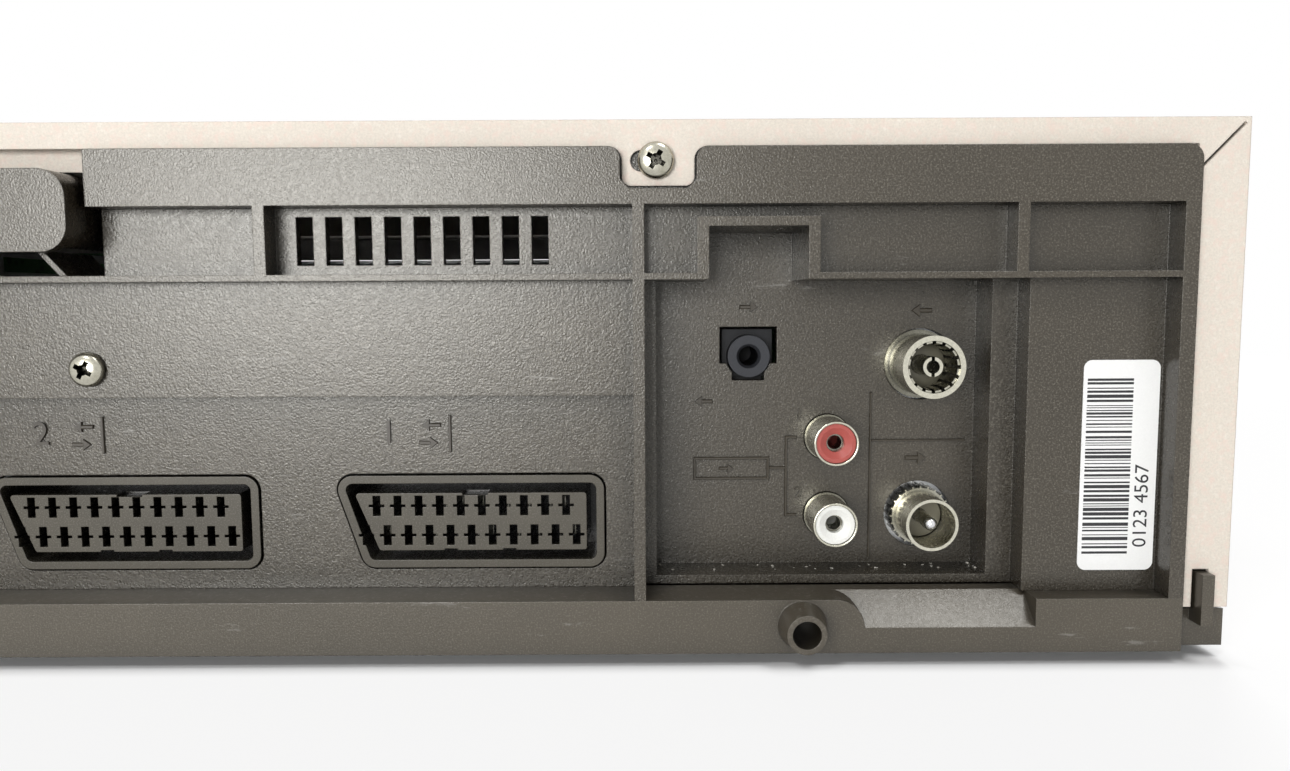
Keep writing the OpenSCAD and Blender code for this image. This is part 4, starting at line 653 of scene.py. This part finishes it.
def add_words(bm, words, x, y, z, size, depth, turn=0.0):
    """Raised characters that are read from the rear."""
    data = bpy.data.curves.new("words", "FONT")
    data.body = words
    data.size = size
    data.extrude = depth / 2
    data.align_x = "CENTER"
    data.align_y = "CENTER"
    data.resolution_u = 4
    obj = bpy.data.objects.new("words", data)
    scene.collection.objects.link(obj)
    bpy.context.view_layer.update()
    mesh = bpy.data.meshes.new_from_object(obj.evaluated_get(bpy.context.evaluated_depsgraph_get()))
    to_rear = Matrix(((-1, 0, 0), (0, 0, 1), (0, 1, 0)))
    spin = Matrix.Rotation(turn, 3, "Z")
    middle = Vector((x, y, z))
    for v in mesh.vertices:
        v.co = to_rear @ (spin @ v.co) + middle
    bm.from_mesh(mesh)
    bpy.data.meshes.remove(mesh)
    bpy.data.objects.remove(obj)
    bpy.data.curves.remove(data)


# Rear details
def pan_head(name, x, y, z, head, height, turn):
    """Pan head screw with a real cross recess, facing the rear."""
    bm = bmesh.new()
    r = head / 2
    shank = 1.3
    tip = y - 6
    seat = y - 0.02
    profile = [(0, tip), (shank, tip), (shank, seat), (r * 0.94, seat)]
    profile += [(r * across, y + up * height) for across, up in PAN_OUTLINE]
    profile.append((0, y + height))
    add_ring(bm, x, z, profile, 64)
    obj = piece(name, bm, "screw_zinc")
    for k in range(2):
        tool = bmesh.new()
        angle = turn + k * math.pi / 2
        for v in add_box(tool, -r * 0.64, r * 0.64, height * 0.10, height * 1.3, -r * 0.15, r * 0.15):
            taper = (0.50, 0.75) if v.co.y < height else (1.0, 1.0)
            px = v.co.x * taper[0]
            pz = v.co.z * taper[1]
            v.co = Vector((x + px * math.cos(angle) - pz * math.sin(angle), y + v.co.y,
                           z + px * math.sin(angle) + pz * math.cos(angle)))
        cut(obj, linked(f"{name}_blade_{k}", tool))
    tool = bmesh.new()
    low = y - height * 0.10
    high = y + height * 1.1
    add_ring(tool, x, z, [(0, low), (r * 0.05, low), (r * 0.34, high), (0, high)], 24)
    cut(obj, linked(name + "_middle", tool))
    return obj


def rear_screws():
    made = [pan_head(*screw) for screw in SCREWS]
    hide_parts("case_screws")


def aerial_spring():
    """Spring fins inside the aerial input's ring, and its insulating disc."""
    bm = bmesh.new()
    count = 16
    half = math.pi / count * 0.62
    outer = 4.72
    inner = 4.28
    for i in range(count):
        mid = 2 * math.pi * (i + 0.5) / count
        rings = []
        for y, push in ((118.0, 0.0), (121.0, -0.28), (124.0, -0.22), (125.6, 0.05)):
            angles = [mid + side * half for side in (-1, 0, 1)]
            places = [(outer, a) for a in angles] + [(inner + push, a) for a in reversed(angles)]
            ring = [(X_TUNER + r * math.cos(a), y, Z_IN + r * math.sin(a)) for r, a in places]
            rings.append(add_points(bm, ring))
        join_rings(bm, rings)
        bm.faces.new(rings[0])
        bm.faces.new(rings[-1])
    piece("aerial_spring_fins", bm, "nickel")
    bm = bmesh.new()
    add_ring(bm, X_TUNER, Z_IN, [(1.85, 116.6), (1.85, 117.6), (3.6, 117.6), (4.6, 117.2), (4.6, 116.6)], 64)
    piece("aerial_insulator", bm, "socket_inside")


def aerial_tip():
    """Rounded point of the aerial output's pin and the disc behind it."""
    bm = bmesh.new()
    add_ring(bm, X_TUNER, Z_OUT, [(1.2, 125.55), (1.16, 125.9), (0.9, 126.3), (0.45, 126.6), (0, 126.7)], 32)
    piece("aerial_pin_tip", bm, "bright_steel")
    bm = bmesh.new()
    add_ring(bm, X_TUNER, Z_OUT, [(1.3, 118.4), (4.1, 118.4), (4.15, 117.4)], 64)
    piece("aerial_output_disc", bm, "socket_inside")


def bead(radius, y, across, along, count):
    """Outline of a round bead on a ring."""
    turns = [2 * math.pi * k / count for k in range(count)]
    return [(radius + across * math.cos(t), y + along * math.sin(t)) for t in turns]


def phono_rings():
    """Rolled lip of each phono shell, and the contact ring inside its insert."""
    bm = bmesh.new()
    for z in Z_PHONO:
        add_ring(bm, X_PHONO, z, bead(3.88, 126.0, 0.22, 0.16, 12), 72, closed=True)
        add_ring(bm, X_PHONO, z, [(1.62, 120.0), (1.62, 123.9), (1.3, 123.9), (1.3, 120.0)], 40)
    piece("phono_lips", bm, "nickel")


def socket_contacts():
    """The sprung blades that show in some slots of the two 21-way sockets."""
    rng = random.Random(5)
    y_slots = 123.6
    aside = 0.46
    half_thick = 0.1
    half_wide = 0.9
    for n, x0 in enumerate(X_AV):
        bm = bmesh.new()
        for start, up, count in CONTACT_ROWS:
            z = Z_AV + up
            for k in range(count):
                x = x0 + start - CONTACT_PITCH * k + rng.choice((-1, 1)) * aside
                y = y_slots - rng.uniform(0.2, 1.4)
                add_box(bm, x - half_thick, x + half_thick, y - 3, y, z - half_wide, z + half_wide)
        piece(f"av_blades_{n + 1}", bm, "nickel", smooth=False)


def dust():
    """Crumbs that lie on the ledges and in the corners of the rear pockets."""
    rng = random.Random(3)
    bm = bmesh.new()
    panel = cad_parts["rear_panel"]
    into = panel.matrix_world.inverted()
    for x0, x1, y0, y1, z, count in DUST_FALLS:
        for _ in range(count):
            start = Vector((rng.uniform(x0, x1), rng.uniform(y0, y1) * 0.5 + y0 * 0.5, z)) * MM
            hit, place, _, _ = panel.ray_cast(into @ start, Vector((0, 0, -1)), distance=0.025)
            if not hit:
                continue
            middle = (panel.matrix_world @ place) / MM
            size = rng.choice((0.10, 0.13, 0.17, 0.26))
            spin = Matrix.Rotation(rng.uniform(0, 6.28), 3, "Z")
            made = bmesh.ops.create_icosphere(bm, subdivisions=1, radius=1.0)["verts"]
            for v in made:
                flat = Vector((v.co.x * 1.7, v.co.y, v.co.z * 0.6)) * size * rng.uniform(0.75, 1.2)
                v.co = spin @ flat + middle + Vector((0, 0, size * 0.4))
    piece("dust_crumbs", bm, "dust")


def label_print():
    """Plain bars and plain digits on the white label."""
    rng = random.Random(11)
    bm = bmesh.new()
    y0 = Y_FLOOR_POCKET + 0.145
    z = 18.4
    last = 50.2
    end = 50.4
    while z < last:
        thick = rng.choice((0.16, 0.2, 0.3, 0.42, 0.6))
        add_box(bm, -183.4, -175.3, y0, y0 + 0.02, z, min(z + thick, end))
        z += thick + rng.choice((0.22, 0.3, 0.42, 0.55))
    piece("label_bars", bm, "black_ink", smooth=False)
    bm = bmesh.new()
    add_words(bm, "0123 4567", -185.6, y0 + 0.01, 27.0, 3.5, 0.02, math.pi / 2)
    piece("label_digits", bm, "black_ink", smooth=False)


def raised_bar(bm, xa, za, xb, zb, y, width=0.45):
    """One straight raised stroke with sloping sides."""
    along = Vector((xb - xa, zb - za)).normalized()
    side = Vector((-along.y, along.x)) * width / 2
    corners = ((xa, za, -1, 1), (xb, zb, 1, 1), (xb, zb, 1, -1), (xa, za, -1, -1))
    rings = []
    for height, share in ((-SUNK, 1.25), (MARK * 0.75, 1.0), (MARK, 0.6)):
        reach = along * (width / 2 * share)
        ring = []
        for px, pz, end, way in corners:
            ring.append((px + end * reach.x + way * side.x * share, y + height,
                         pz + end * reach.y + way * side.y * share))
        rings.append(add_points(bm, ring))
    join_rings(bm, rings)
    bm.faces.new(rings[0])
    bm.faces.new(rings[-1])


def raised_frame(bm, x0, x1, z0, z1, y, width=0.45):
    """A raised outline with mitred corners."""
    rings = []
    for height, inset in ((-SUNK, -0.06), (MARK * 0.75, 0.0), (MARK, 0.1), (MARK, width - 0.1),
                          (MARK * 0.75, width), (-SUNK, width + 0.06)):
        corners = ((x0 + inset, z0 + inset), (x1 - inset, z0 + inset), (x1 - inset, z1 - inset),
                   (x0 + inset, z1 - inset))
        rings.append(add_points(bm, [(px, y + height, pz) for px, pz in corners]))
    join_rings(bm, rings)


def arrow(bm, x, z, y, size, way):
    """A raised arrow on a stem; it points to the left of the photograph where way is 1."""
    tip = [(x + way * size, z), (x, z + size * 0.72), (x, z - size * 0.72)]
    middle = x + way * size * 0.35
    add_prism(bm, [(px, y - SUNK, pz) for px, pz in tip],
              [(px * 0.84 + middle * 0.16, y + MARK, pz * 0.84 + z * 0.16) for px, pz in tip])
    raised_bar(bm, x - way * size * 1.1, z, x - way * 0.05, z, y, size * 0.42)


def panel_marks():
    """Raised marks in the moulding: numerals, arrows and outlines."""
    y = Y_FLOOR_LOWER
    for n, x0 in enumerate(X_AV):
        bm = bmesh.new()
        add_words(bm, str(n + 1), x0 + 14.6, y + MARK / 2, 40.2, 6.0, MARK)
        arrow(bm, x0 + 7.2, 41.6, y, 1.5, 1)
        arrow(bm, x0 + 7.2, 38.4, y, 1.5, -1)
        raised_bar(bm, x0 + 3.6, 37.0, x0 + 3.6, 43.2, y)
        piece(f"socket_marks_{n + 1}", bm, "mark_plastic", smooth=False)
    y = Y_FLOOR_AERIAL
    bm = bmesh.new()
    raised_frame(bm, -121.4, -107.0, 29.6, 33.9, y)
    raised_bar(bm, -121.6, 31.8, -124.4, 31.8, y)
    raised_bar(bm, -124.6, 22.7, -124.6, 37.7, y)
    raised_bar(bm, -124.9, 37.7, -126.4, 37.7, y)
    raised_bar(bm, -124.9, 22.7, -126.4, 22.7, y)
    arrow(bm, -113.4, 31.75, y, 1.2, -1)
    arrow(bm, -117.6, 62.4, y, 1.5, -1)
    arrow(bm, -108.6, 44.6, y, 1.5, 1)
    for i, z in enumerate(Z_PHONO):
        add_words(bm, str(2 - i), -127.0, y + MARK / 2, z + 4.2, 3.0, MARK)
    piece("phono_marks", bm, "mark_plastic", smooth=False)
    bm = bmesh.new()
    raised_bar(bm, -140.6, 14.6, -140.6, 46.0, y, 0.35)
    raised_bar(bm, -141.0, 37.0, -158.4, 37.0, y, 0.35)
    arrow(bm, -149.6, 61.6, y, 1.7, 1)
    arrow(bm, -149.6, 33.6, y, 1.7, -1)
    piece("aerial_marks", bm, "mark_plastic", smooth=False)


# Front details
def sign(bm, kind, x, z, size, y, thick):
    """A plain transport sign, read from the front."""
    def flat(points):
        add_prism(bm, [(px, y - thick, pz) for px, pz in points], [(px, y + SUNK, pz) for px, pz in points])

    s = size / 2
    if kind == "play":
        flat([(x - s * 0.8, z - s), (x + s, z), (x - s * 0.8, z + s)])
    elif kind == "stop":
        flat([(x - s, z - s), (x + s, z - s), (x + s, z + s), (x - s, z + s)])
    elif kind == "pause":
        for k in (-0.55, 0.55):
            flat([(x + k * s * 1.1 - s * 0.28, z - s), (x + k * s * 1.1 + s * 0.28, z - s),
                  (x + k * s * 1.1 + s * 0.28, z + s), (x + k * s * 1.1 - s * 0.28, z + s)])
    elif kind in ("forward", "rewind"):
        m = 1 if kind == "forward" else -1
        for k in (-0.9, 0.1):
            flat([(x + m * (k * s), z - s), (x + m * (k + 0.95) * s, z), (x + m * (k * s), z + s)])
    elif kind == "record":
        flat([(x + s * math.cos(a), z + s * math.sin(a)) for a in [2 * math.pi * i / 24 for i in range(24)]])
    elif kind == "up":
        flat([(x - s, z - s * 0.7), (x + s, z - s * 0.7), (x, z + s * 0.8)])
    elif kind == "down":
        flat([(x - s, z + s * 0.7), (x, z - s * 0.8), (x + s, z + s * 0.7)])
    elif kind == "eject":
        flat([(x - s, z - s * 0.15), (x + s, z - s * 0.15), (x, z + s)])
        flat([(x - s, z - s * 0.8), (x + s, z - s * 0.8), (x + s, z - s * 0.45), (x - s, z - s * 0.45)])


def front_signs():
    """Signs printed on the buttons; they ride on them."""
    rows = (("eject", "eject_button", -134, 80), ("up", "channel_up_button", -134, 68),
            ("down", "channel_down_button", -152, 68), ("rewind", "rewind_button", 126, 80),
            ("play", "play_button", 150, 80), ("forward", "forward_button", 174, 80),
            ("stop", "stop_button", 126, 68), ("pause", "pause_button", 150, 68))
    for kind, body, x, z in rows:
        bm = bmesh.new()
        sign(bm, kind, x, z, 2.6, Y_CAPS, 0.03)
        piece(f"{kind}_sign", bm, "grey_ink", body=body, smooth=False)
    bm = bmesh.new()
    sign(bm, "record", 174, 68, 2.4, Y_CAPS, 0.03)
    piece("record_sign", bm, "white_plastic", body="record_button", smooth=False)
    bm = bmesh.new()
    add_ring(bm, -176, 80, bead(2.5, Y_CAPS - 0.02, 0.28, 0.05, 8), 48, closed=True)
    add_box(bm, -176.25, -175.75, Y_CAPS - 0.07, Y_CAPS + 0.02, 80.6, 83.4)
    piece("power_sign", bm, "grey_ink", body="power_button", smooth=False)


def dial_marks():
    """Ticks round the shuttle ring, a longer one every 45 degrees."""
    bm = bmesh.new()
    half = 0.22
    inner = 24.4
    for k in range(-6, 7):
        a = math.radians(90 - 15 * k)
        outer = 26.4 if k % 3 == 0 else 25.6
        c = math.cos(a)
        s = math.sin(a)
        corners = ((inner, -half), (outer, -half), (outer, half), (inner, half))
        pts = [(DIAL_X + r * c - t * s, DIAL_Z + r * s + t * c) for r, t in corners]
        add_prism(bm, [(px, Y_FACE - 0.06, pz) for px, pz in pts],
                  [(px, Y_FACE + SUNK, pz) for px, pz in pts])
    piece("dial_ticks", bm, "grey_ink", smooth=False)


def front_trim():
    """Fine frame round the display window."""
    bm = bmesh.new()
    for x0, x1, z0, z1 in ((-93.4, 93.4, 45.6, 46.0), (-93.4, 93.4, 13.0, 13.4),
                           (-93.4, -93.0, 13.0, 46.0), (93.0, 93.4, 13.0, 46.0)):
        add_box(bm, x0, x1, Y_FACE - 0.12, Y_FACE + 0.1, z0, z1)
    piece("window_frame_line", bm, "dial_silver", smooth=False)


NODE_LOOKS = {
    "chassis_frame": "frame_plastic", "bottom_plate": "zinc_steel", "rubber_feet": "rubber",
    "top_cover": "cover_paint", "case_screws": "screw_zinc", "rear_panel": "black_plastic",
    "bar_code_label": "label_paper", "av_socket_1": "socket_black", "av_socket_2": "socket_black",
    "aerial_input": "nickel", "aerial_output": "nickel", "phono_block": "nickel",
    "phono_red_insert": "insert_red", "phono_white_insert": "insert_white", "control_jack": "jack_black",
    "tuner_can": "zinc_steel", "mains_inlet": "socket_black", "main_board": "board_brown",
    "power_board": "board_brown", "transformer": "winding_tape", "capacitors": "capacitor_sleeve",
    "heat_sink": "bare_aluminium", "front_panel": "front_silver", "cassette_door": "front_silver",
    "display_window": "smoked_window", "display_tube": "tube_glass", "front_board": "board_green",
    "front_jacks": "socket_black", "jack_flap": "front_silver", "shuttle_ring": "dial_black",
    "jog_dial": "dial_silver", "record_button": "button_red", "deck_plate": "zinc_steel",
    "deck_fittings": "bright_steel", "carriage_sides": "zinc_steel", "holder_slides": "zinc_steel",
    "cassette_holder": "zinc_steel", "lower_drum": "bare_aluminium", "upper_drum": "bright_steel",
    "capstan": "bright_steel", "pinch_arm": "zinc_steel", "pinch_roller": "rubber",
    "supply_reel": "white_plastic", "take_up_reel": "white_plastic", "idler_arm": "zinc_steel",
    "idler_gear": "white_plastic", "supply_guide": "bright_steel", "take_up_guide": "bright_steel",
    "tension_arm": "zinc_steel", "cam_gear": "white_plastic", "loading_worm": "white_plastic",
}

make_camera()
make_world()
make_floor()
for lamp in LAMPS:
    make_light(*lamp)
LOOKS = make_looks()
for node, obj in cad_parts.items():
    look = NODE_LOOKS.get(node, "button_silver")
    obj.data.materials.clear()
    obj.data.materials.append(LOOKS[look])
rear_screws()
aerial_spring()
aerial_tip()
phono_rings()
socket_contacts()
dust()
label_print()
panel_marks()
front_signs()
dial_marks()
front_trim()

scene.view_settings.view_transform = "Standard"
